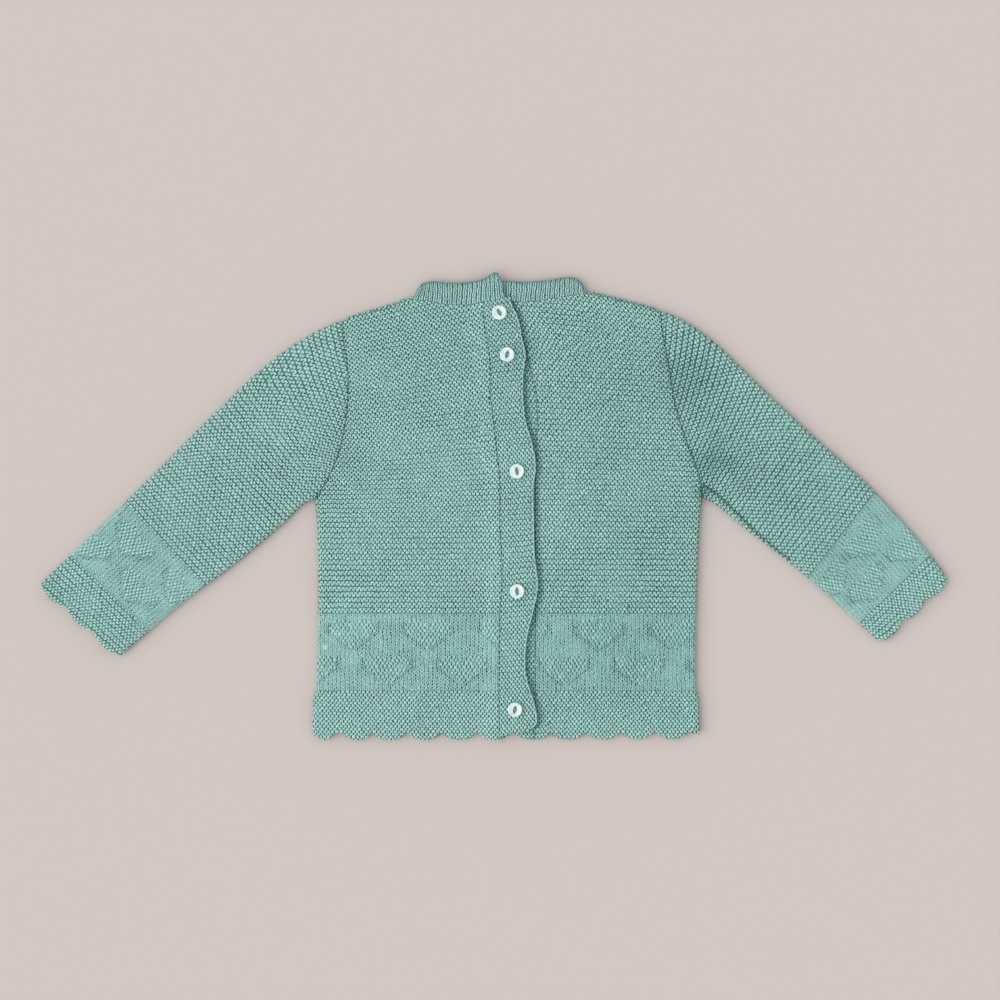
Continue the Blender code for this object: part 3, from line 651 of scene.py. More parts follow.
def spots_at(plan: Array, spots: Table) -> Array:
    """Sum of soft spots at points of the plan.

    Args:
        plan: Points in plan.
        spots: Rows of x, y, reach and amount.

    Returns:
        A value for each point.
    """
    total = np.zeros(len(plan))
    for x, y, reach, amount in spots:
        total += amount * bell(np.hypot(plan[:, 0] - x, plan[:, 1] - y), reach)
    return total


def unevenness(plan: Array, size: float, seed: float) -> Array:
    """Smooth wandering between about -1 and 1, from sines of unlike lengths.

    Args:
        plan: Points in plan.
        size: Length over which it changes.
        seed: Shifts the pattern.

    Returns:
        A value for each point.
    """
    x, y = plan[:, 0] / size, plan[:, 1] / size
    waves = [np.sin(by_x * x + by_y * y + shift * seed) for by_x, by_y, shift in UNEVEN_WAVES]
    return sum(waves) / len(waves)


def wandering(plan: Array, waves: Table) -> Array:
    """Sum of uneven waves, each a row of amount, size and seed."""
    return sum(amount * unevenness(plan, size, seed) for amount, size, seed in waves)


# ---- edges


@dataclass(frozen=True)
class EdgeShape:
    """How a piece thins, is darkened with painted shade and opens towards an edge, in millimetres.

    Attributes:
        reach: Width of the thinning.
        share: Share of the wall left at the edge.
        dark: Painted shade at the edge, painted light where it is below 0.
        dark_reach: Width of the darkening and, doubled, of the opened stitches.
        opened: How much deeper the slits are.
    """

    reach: float
    share: float
    dark: float
    dark_reach: float
    opened: float = 0.0

    def left(self, away: Array) -> Array:
        """Share of the wall that is left at a distance from the edge."""
        near = np.clip(1 - away / self.reach, 0.0, 1.0)
        return 1 - (1 - self.share) * (1 - np.sqrt(1 - near**2))


# Painted shade on the rounded free edges and folds and in the grooves of seams and joins; painted
# light along the neck, where dark is below 0
EDGE_SHAPES = {
    Kind.FREE: EdgeShape(reach=1.9, share=0.42, dark=0.06, dark_reach=0.5),
    Kind.FOLD: EdgeShape(reach=2.8, share=0.40, dark=0.06, dark_reach=0.6),
    Kind.SEAM: EdgeShape(reach=1.2, share=0.72, dark=0.20, dark_reach=0.9, opened=0.45),
    Kind.NECK: EdgeShape(reach=0.8, share=0.88, dark=-0.05, dark_reach=0.8),
    Kind.JOIN: EdgeShape(reach=0.8, share=0.88, dark=0.16, dark_reach=0.6, opened=0.4),
}


def settled(share: Array) -> Array:
    """How much of the relief is kept where a wall is thinned to a share."""
    return smoothstep((share - FLAT_SHARE) / (1 - FLAT_SHARE))


# ---- stitch formulas


class Signal:
    """A number inside a node tree that can be reckoned with as if it were plain."""

    def __init__(self, tree: NodeTree, socket: NodeSocket) -> None:
        """Wrap a socket of a tree."""
        self.tree = tree
        self.socket = socket

    def math(
        self, operation: str, other: "Value | None" = None, clamp: bool = False, swap: bool = False
    ) -> "Signal":
        """Put a Math node after this value.

        Args:
            operation: The node's operation.
            other: Second value, plain or a Signal.
            clamp: Whether the result is held between 0 and 1.
            swap: Whether the other value comes first.

        Returns:
            The node's result.
        """
        node = self.tree.nodes.new("ShaderNodeMath")
        node.operation = operation
        node.use_clamp = clamp
        own, their = (1, 0) if swap else (0, 1)
        self.tree.links.new(self.socket, node.inputs[own])
        if isinstance(other, Signal):
            self.tree.links.new(other.socket, node.inputs[their])
        elif other is not None:
            node.inputs[their].default_value = other
        return Signal(self.tree, node.outputs[0])

    def __add__(self, other: "Value") -> "Signal":
        """Sum."""
        return self.math("ADD", other)

    __radd__ = __add__

    def __mul__(self, other: "Value") -> "Signal":
        """Product."""
        return self.math("MULTIPLY", other)

    __rmul__ = __mul__

    def __sub__(self, other: "Value") -> "Signal":
        """Difference."""
        return self.math("SUBTRACT", other)

    def __rsub__(self, other: "Value") -> "Signal":
        """Difference, the other way round."""
        return self.math("SUBTRACT", other, swap=True)


Value = float | Array | Signal


def cosine(turns: Value) -> Value:
    """Cosine of a number of whole turns, plain or in nodes."""
    if isinstance(turns, Signal):
        return (turns * math.tau).math("COSINE")
    return np.cos(math.tau * turns)


def to_whole(value: Value) -> Value:
    """Distance to the nearest whole number, plain or in nodes."""
    if isinstance(value, Signal):
        return value.math("PINGPONG", 0.5)
    return np.abs(value - np.round(value))


def held(value: Value) -> Value:
    """A value held between 0 and 1, plain or in nodes."""
    if isinstance(value, Signal):
        return value.math("ADD", 0.0, clamp=True)
    return np.clip(value, 0.0, 1.0)


def stripe(away: Value, half_width: float) -> Value:
    """Soft stripe: 1 where away is 0, and 0 from its half width on."""
    return held(1.0 - away * away * (1 / half_width**2))


def spot(wales: Value, rows: Value, size: tuple[float, float]) -> Value:
    """Round spot at each whole count of wales and rows: 1 in its middle and 0 outside."""
    across, up = to_whole(wales), to_whole(rows)
    return held(1.0 - across * across * (1 / size[0] ** 2) - up * up * (1 / size[1] ** 2))


def loops_relief(
    wales: Value, rows: Value, slit: Value, spread: Value, odd: float, round_by: Value
) -> Value:
    """Rows of interlocked loops, two rows a ridge, with narrow slits between the loops.

    Args:
        wales: Count of stitches along the row.
        rows: Count of ridges.
        slit: How deep the slits are.
        spread: How far a ridge's two rows of loops lie from its middle.
        odd: Share of the depth of every second row of slits.
        round_by: How far the loops stand out.

    Returns:
        Height from about 0 in the slits to 1 on the loops.
    """
    lower, upper = rows + 0.5 + spread, rows + 0.5 - spread
    slits = spot(wales + 0.5, lower, SLIT_SIZE) + odd * spot(wales, upper, SLIT_SIZE)
    loops = spot(wales, lower, LOOP_SIZE) + spot(wales + 0.5, upper, LOOP_SIZE)
    return LOOP_LEVEL + round_by * loops - SLIT_DEPTH * slit * slits


def garter_relief(wales: Value, courses: Value, slit: Value, furrow: Value) -> Value:
    """Garter stitch: a ridge on every second course, with a furrow between ridges.

    Args:
        wales: Count of stitches along the course.
        courses: Count of courses.
        slit: How deep the slits are.
        furrow: How far the ridges stand apart.

    Returns:
        Height from about 0 to 1.
    """
    ridges = courses * 0.5
    line = stripe(to_whole(ridges), FURROW_HALF)
    spread, round_by = LOOP_SPREAD - 0.06 * furrow, GARTER_ROUND - 0.15 * furrow
    loops = loops_relief(wales, ridges, slit, spread, GARTER_ODD, round_by)
    return loops + furrow * (0.10 - FURROW_DEPTH * line)


def purl_relief(wales: Value, courses: Value, slit: Value) -> Value:
    """Back of plain knitting: a mesh of loops, a row of them on every course."""
    loops = loops_relief(wales, 0.5 * courses, PURL_SLIT * slit, LOOP_SPREAD, 1.0, PURL_ROUND)
    return loops + PURL_RAISED


def plain_relief(wales: Value, courses: Value, slit: Value, split: Value) -> Value:
    """Plain knitting: columns of slanting legs, with pits between columns and between legs.

    Args:
        wales: Count of stitches along the course.
        courses: Count of courses.
        slit: How deep the pits are.
        split: How far the columns and their two legs stand apart.

    Returns:
        Height from about 0 to 1.
    """
    side = to_whole(wales)
    strand = 0.5 + 0.5 * cosine(courses - 2.0 * side)
    groove = stripe(side, GROOVE_HALF)
    between_legs = stripe(0.5 - side, LEG_GROOVE_HALF)
    pits = spot(wales, courses - PIT_SHIFT, PIT_SIZE)
    pits = pits + LEG_PIT_SHARE * spot(wales + 0.5, courses + LEG_PIT_SHIFT, LEG_PIT_SIZE)
    pitted = slit * (GROOVE_BY_SLIT * groove + PIT_DEPTH * slit * pits)
    parted = split * (GROOVE_BY_SPLIT * groove + between_legs)
    return PLAIN_LEVEL + PLAIN_ROUND * strand - pitted - parted


def knit_relief(
    wales: Value, courses: Value, furrow: Value, garter: Value, purl: Value, slit: Value
) -> Value:
    """Height of the knitting from its kinds of stitch.

    Args:
        wales: Count of stitches along the course.
        courses: Count of courses.
        furrow: How far the ridges of garter stitch stand apart.
        garter: Share of garter stitch.
        purl: Share of purl stitch.
        slit: How deep the holes are.

    Returns:
        Height from about 0 to 1.
    """
    plain = plain_relief(wales, courses, slit, PLAIN_SPLIT + SPLIT_BY_FURROW * furrow)
    result = plain + garter * (garter_relief(wales, courses, slit, furrow) - plain)
    return result + purl * (purl_relief(wales, courses, slit) - plain)


def heart_share(wales: Array, courses: Array, hearts: Table) -> Array:
    """Share of purl stitch at a count of wales and courses, from the heart chart.

    Args:
        wales: Count of stitches.
        courses: Count of courses.
        hearts: Rows of a wale and the course of the point.

    Returns:
        1 inside a heart and 0 outside.
    """
    chart = np.array([[mark == "#" for mark in row] for row in HEART_CHART], dtype=float)
    share = np.zeros_like(wales)
    for wale, course in hearts:
        column = np.floor(wales - wale + chart.shape[1] / 2).astype(int)
        row = np.floor(courses - course).astype(int)
        fits = (column >= 0) & (column < chart.shape[1]) & (row >= 0) & (row < chart.shape[0])
        share[fits] = np.maximum(share[fits], chart[row[fits], column[fits]])
    return share


def heart_slits(wales: Array, courses: Array, hearts: Table) -> Array:
    """Drawn-open stitches at both sides of the hearts and down to their points.

    Args:
        wales: Count of stitches.
        courses: Count of courses.
        hearts: Rows of a wale and the course of the point.

    Returns:
        How much deeper the slits are.
    """
    deeper = np.zeros_like(wales)
    for number, (wale, course) in enumerate(hearts):
        out = np.abs(wales - wale)
        up = courses - course
        beside_it = bell(out - HEART_SIDE_OUT, HEART_SIDE_WIDTH)
        deeper += HEART_SIDE_OPEN * beside_it * bell((up - HEART_SIDE_UP) ** 2, HEART_SIDE_TALL**2)
        slope = bell(out - up - HEART_SLOPE_OUT, HEART_SLOPE_WIDTH)
        slope = slope * (up > HEART_SLOPE_LOW) * (up < HEART_SLOPE_HIGH)
        right_open = HEART_RIGHT_OPEN[number % 2]
        deeper += slope * np.where(wales < wale, HEART_LEFT_OPEN, right_open)
    return deeper


@dataclass(frozen=True)
class Knitting:
    """Course and wale counts over a piece, and which stitch lies where.

    Attributes:
        rows: Table of points on a line across the rows, each with its course and row direction.
        plain: First and last course of the plain stretch, or None.
        hearts: Wale and course of each heart's point.
        furrow: How far the ridges stand apart all over.
        slit: How deep the slits between the loops are all over.
        borders: How far the slits are drawn open at both borders of the plain stretch.
        border_reach: Courses over which they are.
    """

    rows: Table
    plain: tuple[float, float] | None = None
    hearts: Table = ()
    furrow: float = 0.35
    slit: float = 0.45
    borders: tuple[float, float] = (0.1, 0.2)
    border_reach: float = 0.8

    def dense(self) -> Array:
        """The table's line with a row every half millimetre or so.

        Returns:
            Rows with the columns of the table.
        """
        table = np.asarray(self.rows, dtype=float)
        steps = np.hypot(*np.diff(table[:, :2], axis=0).T)
        reached = np.concatenate(([0.0], np.cumsum(steps)))
        marks = np.linspace(0.0, reached[-1], DENSE_ROWS)
        return np.stack([np.interp(marks, reached, column) for column in table.T], axis=1)

    def place(self, wales: Array, courses: Array) -> Array:
        """Plan points of stitches.

        Args:
            wales: Count of stitches from the line across the rows.
            courses: Count of courses.

        Returns:
            Rows of x and y.
        """
        line = self.dense()
        x, y, degrees, bend, pitch = (
            np.interp(courses, line[:, 2], line[:, column]) for column in (0, 1, 3, 4, 5)
        )
        out = wales * pitch
        turn = np.radians(bend) / 100
        half = np.radians(degrees) + turn * out / 2
        return np.stack((x + out * np.cos(half), y + out * np.sin(half)), axis=1)

    def count(self, plan: Array) -> tuple[Array, Array]:
        """Wales and courses at plan points, found by Newton's rule.

        Args:
            plan: Rows of x and y.

        Returns:
            Wales and courses.
        """
        line = self.dense()
        coarse = line[::COARSE_STEP]
        nearest = np.argmin(
            np.abs(plan[:, None, 0] - coarse[None, :, 0])
            + np.abs(plan[:, None, 1] - coarse[None, :, 1]),
            axis=1,
        )
        courses = coarse[:, 2][nearest]
        wales = np.zeros(len(plan))
        step = NEWTON_STEP
        for _ in range(NEWTON_ROUNDS):
            here = self.place(wales, courses)
            by_wale = (self.place(wales + step, courses) - here) / step
            by_course = (self.place(wales, courses + step) - here) / step
            miss = plan - here
            size = by_wale[:, 0] * by_course[:, 1] - by_wale[:, 1] * by_course[:, 0]
            wales = wales + (miss[:, 0] * by_course[:, 1] - miss[:, 1] * by_course[:, 0]) / size
            change = (by_wale[:, 0] * miss[:, 1] - by_wale[:, 1] * miss[:, 0]) / size
            courses = np.clip(courses + change, line[0, 2] + step, line[-1, 2] - 2 * step)
        return wales, courses

    def marks(self, low: float, high: float, fine: int) -> Array:
        """Courses at which mesh rows lie, closer in the plain stretch.

        Args:
            low: First course.
            high: Last course.
            fine: Mesh rows for each course of garter stitch.

        Returns:
            The courses.
        """
        if self.plain is None:
            return np.arange(math.floor(low), high, 1 / fine)
        start, end = self.plain
        return np.concatenate((
            np.arange(math.floor(low), start, 1 / fine),
            np.arange(start, end, 1 / (fine + 1)),
            np.arange(end, high, 1 / fine),
        ))

    def shares(self, wales: Array, courses: Array) -> tuple[Array, Array]:
        """Shares of stitches.

        Args:
            wales: Count of stitches.
            courses: Count of courses.

        Returns:
            Share of garter stitch, and of purl stitch.
        """
        garter = np.ones_like(wales)
        if self.plain is not None:
            garter[(courses > self.plain[0]) & (courses < self.plain[1])] = 0.0
        purl = heart_share(wales, courses, self.hearts) * (1 - garter)
        return garter, purl

    def drawn_open(self, wales: Array, courses: Array) -> Array:
        """Openness round the hearts and at the plain stretch's borders.

        Args:
            wales: Count of stitches.
            courses: Count of courses.

        Returns:
            How much deeper the slits are.
        """
        deeper = heart_slits(wales, courses, self.hearts)
        if self.plain is not None:
            for course, amount in zip(self.plain, self.borders):
                deeper += amount * bell(courses - course, self.border_reach)
        return deeper


def toothed(line: Array, knitting: Knitting, side: int) -> Array:
    """A fold's line with a small bulge at each ridge.

    Args:
        line: The fold in plan.
        knitting: How the stitches lie there.
        side: 1 where outside is to the left of the line's way, -1 to the right.

    Returns:
        The line with its ends kept.
    """
    courses = knitting.count(line)[1]
    garter = knitting.shares(np.zeros(len(line)), courses)[0]
    bulge = TOOTH * garter * np.cos(math.pi * courses)
    from_end = np.minimum(np.arange(len(line)), np.arange(len(line))[::-1])
    bulge *= np.minimum(1.0, TOOTH_GROWTH * from_end)
    return line + (offset(line, 1.0) - line) * side * bulge[:, None]


@dataclass
class Surface:
    """Points of one side of a piece, with what its finish reads."""

    plan: Array
    faces: Array
    edge_count: int
    wales: Array
    courses: Array


def cover(
    outline: Array, knitting: Knitting, per_wale: int, per_course: int,
    edge_rows: tuple[float, ...] = EDGE_ROWS,
) -> Surface:
    """Points and triangles of one side, standing on the stitches.

    Args:
        outline: Closed loop against the clock.
        knitting: How the stitches lie.
        per_wale: Mesh columns for each wale.
        per_course: Mesh rows for each course.
        edge_rows: Distances of the rows of points beside the outline.

    Returns:
        The surface, its first points those of the outline.
    """
    wales, courses = knitting.count(outline)
    columns = np.arange(math.floor(wales.min()), wales.max() + 1, 1 / per_wale)
    rows = knitting.marks(courses.min(), courses.max() + 1, per_course)
    counts = [grid.ravel() for grid in np.meshgrid(columns, rows)]
    stitches = np.column_stack((knitting.place(*counts), *counts))
    stitches = stitches[inside(outline, stitches[:, :2])]
    closed = np.vstack((outline, outline[:1]))
    stitches = stitches[distance_to(closed, stitches[:, :2]) > STITCH_MARGIN]
    ways = np.roll(outline, -1, axis=0) - np.roll(outline, 1, axis=0)
    border = []
    for distance in edge_rows:
        row = beside(outline, ways, distance)
        clear = inside(outline, row) & (distance_to(closed, row) > CLEAR_SHARE * distance)
        border.append(row[clear])
    border = np.vstack(border)
    side_wales, side_courses = knitting.count(border)
    plan = np.vstack((outline, border, stitches[:, :2]))
    return Surface(
        plan=plan,
        faces=triangles_within(plan, len(outline)),
        edge_count=len(outline),
        wales=np.concatenate((wales, side_wales, stitches[:, 2])),
        courses=np.concatenate((courses, side_courses, stitches[:, 3])),
    )


def cover_plainly(outline: Array, knitting: Knitting) -> Surface:
    """Points and triangles of a hidden side, on a coarse grid.

    Args:
        outline: Closed loop against the clock.
        knitting: How the stitches lie.

    Returns:
        The surface, its first points those of the outline.
    """
    low, high = outline.min(axis=0), outline.max(axis=0)
    lines = [np.arange(low[axis], high[axis], HIDDEN_SPACING) for axis in (0, 1)]
    spots = np.stack([grid.ravel() for grid in np.meshgrid(*lines)], axis=1)
    spots = spots[inside(outline, spots)]
    if len(spots):
        closed = np.vstack((outline, outline[:1]))
        spots = spots[distance_to(closed, spots) > HIDDEN_SPACING / 2]
    plan = np.vstack((outline, spots))
    return Surface(plan, triangles_within(plan, len(outline)), len(outline), *knitting.count(plan))


def triangles_within(plan: Array, count: int) -> Array:
    """Triangles between plan points, inside the ring that the first points form.

    Args:
        plan: The points, each apart from all others.
        count: Number of points in the ring, which runs against the clock.

    Returns:
        Point numbers of the triangles.
    """
    ring = [(index, (index + 1) % count) for index in range(count)]
    spots = [Vector(spot) for spot in plan.tolist()]
    result = delaunay_2d_cdt(spots, ring, [], 1, CLOSEST, False)
    if len(result[0]) != len(plan):
        raise RuntimeError("points of a side fell together")
    faces = np.array(result[2])
    a, b, c = faces.T
    in_order = ((a < b) & (b < c)) | ((b < c) & (c < a)) | ((c < a) & (a < b))
    return faces[in_order | (faces >= count).any(axis=1)]


# ---- finishes


class Dress:
    """A new material, with short ways to add nodes to it."""

    def __init__(self, name: str, sockets: dict) -> None:
        """Make the material and set its shader's sockets."""
        self.material = bpy.data.materials.new(name)
        self.material.use_nodes = True
        self.tree = self.material.node_tree
        self.shader = self.tree.nodes["Principled BSDF"]
        self.feed(self.shader, sockets)

    def feed(self, node: Node, sockets: dict) -> None:
        """Set or link inputs of a node.

        Args:
            node: The node.
            sockets: For each input a plain value, a Signal or another node's output.
        """
        for label, value in sockets.items():
            if isinstance(value, Signal):
                value = value.socket
            if isinstance(value, NodeSocket):
                self.tree.links.new(value, node.inputs[label])
            else:
                node.inputs[label].default_value = value

    def node(self, kind: str, sockets: dict, **settings: object) -> Node:
        """Add a node.

        Args:
            kind: Its type.
            sockets: What its inputs get.
            settings: What is set on the node itself.

        Returns:
            The node.
        """
        node = self.tree.nodes.new(kind)
        for label, value in settings.items():
            setattr(node, label, value)
        self.feed(node, sockets)
        return node

    def place(self) -> NodeSocket:
        """Place on the object."""
        return self.node("ShaderNodeTexCoord", {}).outputs["Object"]

    def attribute(self, name: str, output: str = "Fac") -> NodeSocket:
        """One of the piece's attributes."""
        return self.node("ShaderNodeAttribute", {}, attribute_name=name).outputs[output]

    def parts(self, name: str) -> list[Signal]:
        """The three numbers of a vector attribute."""
        node = self.node("ShaderNodeSeparateXYZ", {0: self.attribute(name, "Vector")})
        return [Signal(self.tree, output) for output in node.outputs]

    def noise(
        self, place: NodeSocket, scale: float, detail: float, distortion: float = 0.0
    ) -> Signal:
        """Noise at a place, from 0 to 1."""
        sockets = {"Vector": place, "Scale": scale, "Detail": detail, "Distortion": distortion}
        return Signal(self.tree, self.node("ShaderNodeTexNoise", sockets).outputs["Fac"])

    def ramp(self, value: Signal, stops: tuple) -> NodeSocket:
        """Colour from a ramp.

        Args:
            value: Place on the ramp.
            stops: Position and colour of each stop.

        Returns:
            The colour.
        """
        node = self.node("ShaderNodeValToRGB", {"Fac": value})
        elements = node.color_ramp.elements
        while len(elements) < len(stops):
            elements.new(0.5)
        for element, (position, colour) in zip(elements, stops):
            element.position = position
            element.color = (*colour, 1.0)
        return node.outputs["Color"]

    def mixed(self, share: Signal, first: NodeSocket, colour: tuple) -> NodeSocket:
        """A colour that turns into a plain one by a share."""
        sockets = {0: share, "A": first, "B": (*colour, 1.0)}
        return self.node("ShaderNodeMix", sockets, data_type="RGBA").outputs["Result"]

    def finish(self, colour: NodeSocket, bump: dict | None = None) -> Material:
        """Link colour and bump to the shader.

        Args:
            colour: The base colour.
            bump: Inputs of the bump, or None for a smooth surface.

        Returns:
            The material.
        """
        self.feed(self.shader, {"Base Color": colour})
        if bump:
            self.feed(self.shader, {"Normal": self.node("ShaderNodeBump", bump).outputs["Normal"]})
        return self.material


@dataclass(frozen=True)
class KnitFinish:
    """Cotton yarn, knitted: colours from the holes to the tops of the loops, in linear light, with
    painted shade in the holes and a painted highlight on the tops of the loops.
    """

    name: str = "mint_cotton_knit"
    # Ramp colours: the two darkest are painted shade in the holes and beside the loops, the third is
    # the yarn's own colour, the lightest is a painted highlight on the tops of the loops
    deep: tuple = (0.025, 0.085, 0.082)
    shade: tuple = (0.122, 0.285, 0.256)
    body: tuple = (0.264, 0.495, 0.452)
    crest_painted_highlight: tuple = (0.485, 0.765, 0.715)
    fleck: tuple = (0.72, 0.62, 0.52)
    stops: tuple = (0.0, 0.35, 0.68, 1.0)
    roughness: float = 0.86
    sheen: float = 0.25
    sheen_roughness: float = 0.5
    specular: float = 0.25
    bump_distance: float = 0.00055
    bump_strength: float = 0.8
    fuzz_scale: float = 1150.0
    fuzz_tone: float = 0.95
    fuzz_bump: float = 0.22
    stitch_scale: float = 0.9
    stitch_tone: float = 0.42
    slit_by_stitch: tuple = (3.4, 0.7, 0.1)
    wander_scale: float = 310.0
    wander: tuple = (0.55, 0.9)
    drift_scale: float = 34.0
    drift_value: tuple = (0.94, 0.12)
    fleck_from: tuple = (1.2, 3.0)

    def build(self) -> Material:
        """Make the material.

        Returns:
            The material, which reads the attributes knit, kind and tone; the tone brings painted
            shade and light, and a real fleck where it is high.
        """
        dress = Dress(self.name, {
            "Roughness": self.roughness,
            "Sheen Weight": self.sheen,
            "Sheen Roughness": self.sheen_roughness,
            "Specular IOR Level": self.specular,
        })
        wale, course, furrow = dress.parts("knit")
        garter, purl, opened = dress.parts("kind")
        tone = Signal(dress.tree, dress.attribute("tone"))
        place = dress.place()
        fuzz = dress.noise(place, self.fuzz_scale, 2.0)
        drift = dress.noise(place, self.drift_scale, 2.0)
        stitch = dress.noise(dress.attribute("knit", "Vector"), self.stitch_scale, 1.0)
        stray = dress.noise(place, self.wander_scale, 1.0) - 0.5
        factor, less, least = self.slit_by_stitch
        slit = opened * (factor * stitch - less).math("MAXIMUM", least)
        wale = wale + self.wander[0] * stray
        course = course - self.wander[1] * stray
        relief = knit_relief(wale, course, furrow, garter, purl, slit)
        level = relief + self.fuzz_tone * (fuzz - 0.5) + self.stitch_tone * (stitch - 0.5) + tone
        # Colour from the relief level: painted shade in the holes and a painted highlight on the
        # loop tops, with the tone's painted shade and light
        yarn = dress.ramp(level, tuple(zip(
            self.stops, (self.deep, self.shade, self.body, self.crest_painted_highlight)
        )))
        start, sharpness = self.fleck_from
        spotted = dress.mixed(held((tone - start) * sharpness), yarn, self.fleck)
        low, more = self.drift_value
        tint = dress.node("ShaderNodeHueSaturation", {"Color": spotted, "Value": low + more * drift})
        return dress.finish(tint.outputs["Color"], {
            "Height": relief + self.fuzz_bump * fuzz,
            "Distance": self.bump_distance,
            "Strength": self.bump_strength,
        })


@dataclass(frozen=True)
class PearlFinish:
    """Polished pearly shell of the buttons."""

    name: str = "pearl_button"
    cool: tuple = (0.56, 0.76, 0.78)
    warm: tuple = (0.83, 0.91, 0.91)
    # Painted shade in the almond-shaped hollow
    hollow: tuple = (0.24, 0.32, 0.28)
    cool_at: float = 0.36
    warm_at: float = 0.6
    cloud_scale: float = 240.0
    cloud_detail: float = 4.0
    cloud_distortion: float = 1.4
    roughness: float = 0.22
    coat: float = 0.6
    coat_roughness: float = 0.08
    specular: float = 0.6
    bump_distance: float = 0.00008
    bump_strength: float = 0.5

    def build(self) -> Material:
        """Make the material, with cloudy bands like those of shell.

        Returns:
            The material, which reads the attribute hollow to paint shade into the hollow.
        """
        dress = Dress(self.name, {
            "Roughness": self.roughness,
            "Coat Weight": self.coat,
            "Coat Roughness": self.coat_roughness,
            "Specular IOR Level": self.specular,
        })
        cloud = dress.noise(
            dress.place(), self.cloud_scale, self.cloud_detail, self.cloud_distortion
        )
        pearl = dress.ramp(cloud, ((self.cool_at, self.cool), (self.warm_at, self.warm)))
        # The hollow is darkened with painted shade
        depth = Signal(dress.tree, dress.attribute("hollow"))
        return dress.finish(dress.mixed(depth, pearl, self.hollow), {
            "Height": cloud,
            "Distance": self.bump_distance,
            "Strength": self.bump_strength,
        })


@dataclass(frozen=True)
class ThreadFinish:
    """Sewing thread in the buttons' holes."""

    name: str = "grey_green_thread"
    dark: tuple = (0.20, 0.27, 0.24)
    light: tuple = (0.42, 0.50, 0.46)
    twist_scale: float = 900.0
    roughness: float = 0.7
    sheen: float = 0.2

    def build(self) -> Material:
        """Make the material, with a fine twist.

        Returns:
            The material.
        """
        dress = Dress(self.name, {"Roughness": self.roughness, "Sheen Weight": self.sheen})
        twist = dress.node(
            "ShaderNodeTexWave", {"Scale": self.twist_scale, "Vector": dress.place()},
            bands_direction="DIAGONAL",
        )
        twist = Signal(dress.tree, twist.outputs["Fac"])
        return dress.finish(dress.ramp(twist, ((0.0, self.dark), (1.0, self.light))))


@dataclass(frozen=True)
class FloorFinish:
    """Plain pale paper under the sweater."""

    name: str = "pale_paper"
    colour: tuple = (0.642, 0.564, 0.528)
    roughness: float = 0.95
    specular: float = 0.1

    def build(self) -> Material:
        """Make the material."""
        return Dress(self.name, {
            "Base Color": (*self.colour, 1.0),
            "Roughness": self.roughness,
            "Specular IOR Level": self.specular,
        }).material


# ---- making a shell


def knit_layers(
    surface: Surface, knitting: Knitting, drawn_open: float | Array = 0.0
) -> tuple[Array, ...]:
    """Attributes of a surface's stitches, and their relief.

    Args:
        surface: The surface.
        knitting: How its stitches lie.
        drawn_open: How much deeper its slits are, a number for each point or one for all.

    Returns:
        The knit attribute, the kind attribute, the relief from about 0 to 1, and tone: painted shade
        and light from the tone spots, and painted shade round the hearts.
    """
    plan, wales, courses = surface.plan, surface.wales, surface.courses
    garter, purl = knitting.shares(wales, courses)
    slit = knitting.slit + wandering(plan, SLIT_WAVES) + spots_at(plan, OPEN_SPOTS) + drawn_open
    slit = np.clip(slit + knitting.drawn_open(wales, courses), *SLIT_RANGE)
    furrow = knitting.furrow + wandering(plan, FURROW_WAVES) + spots_at(plan, FURROW_SPOTS)
    furrow = np.clip(furrow, *FURROW_RANGE) * (PLAIN_FURROW + (1 - PLAIN_FURROW) * garter)
    strayed = (wales + wandering(plan, WALE_WAVES), courses + wandering(plan, COURSE_WAVES))
    relief = np.clip(knit_relief(*strayed, furrow, garter, purl, slit), 0.0, 1.0)
    # Painted shade and light from the tone spots, and painted shade in the opened stitches round the
    # hearts
    tone = spots_at(plan, TONE_SPOTS) - HEART_PAINTED_SHADE * heart_slits(wales, courses, knitting.hearts)
    knit = np.stack((*strayed, furrow), axis=1)
    return knit, np.stack((garter, purl, slit), axis=1), relief, tone


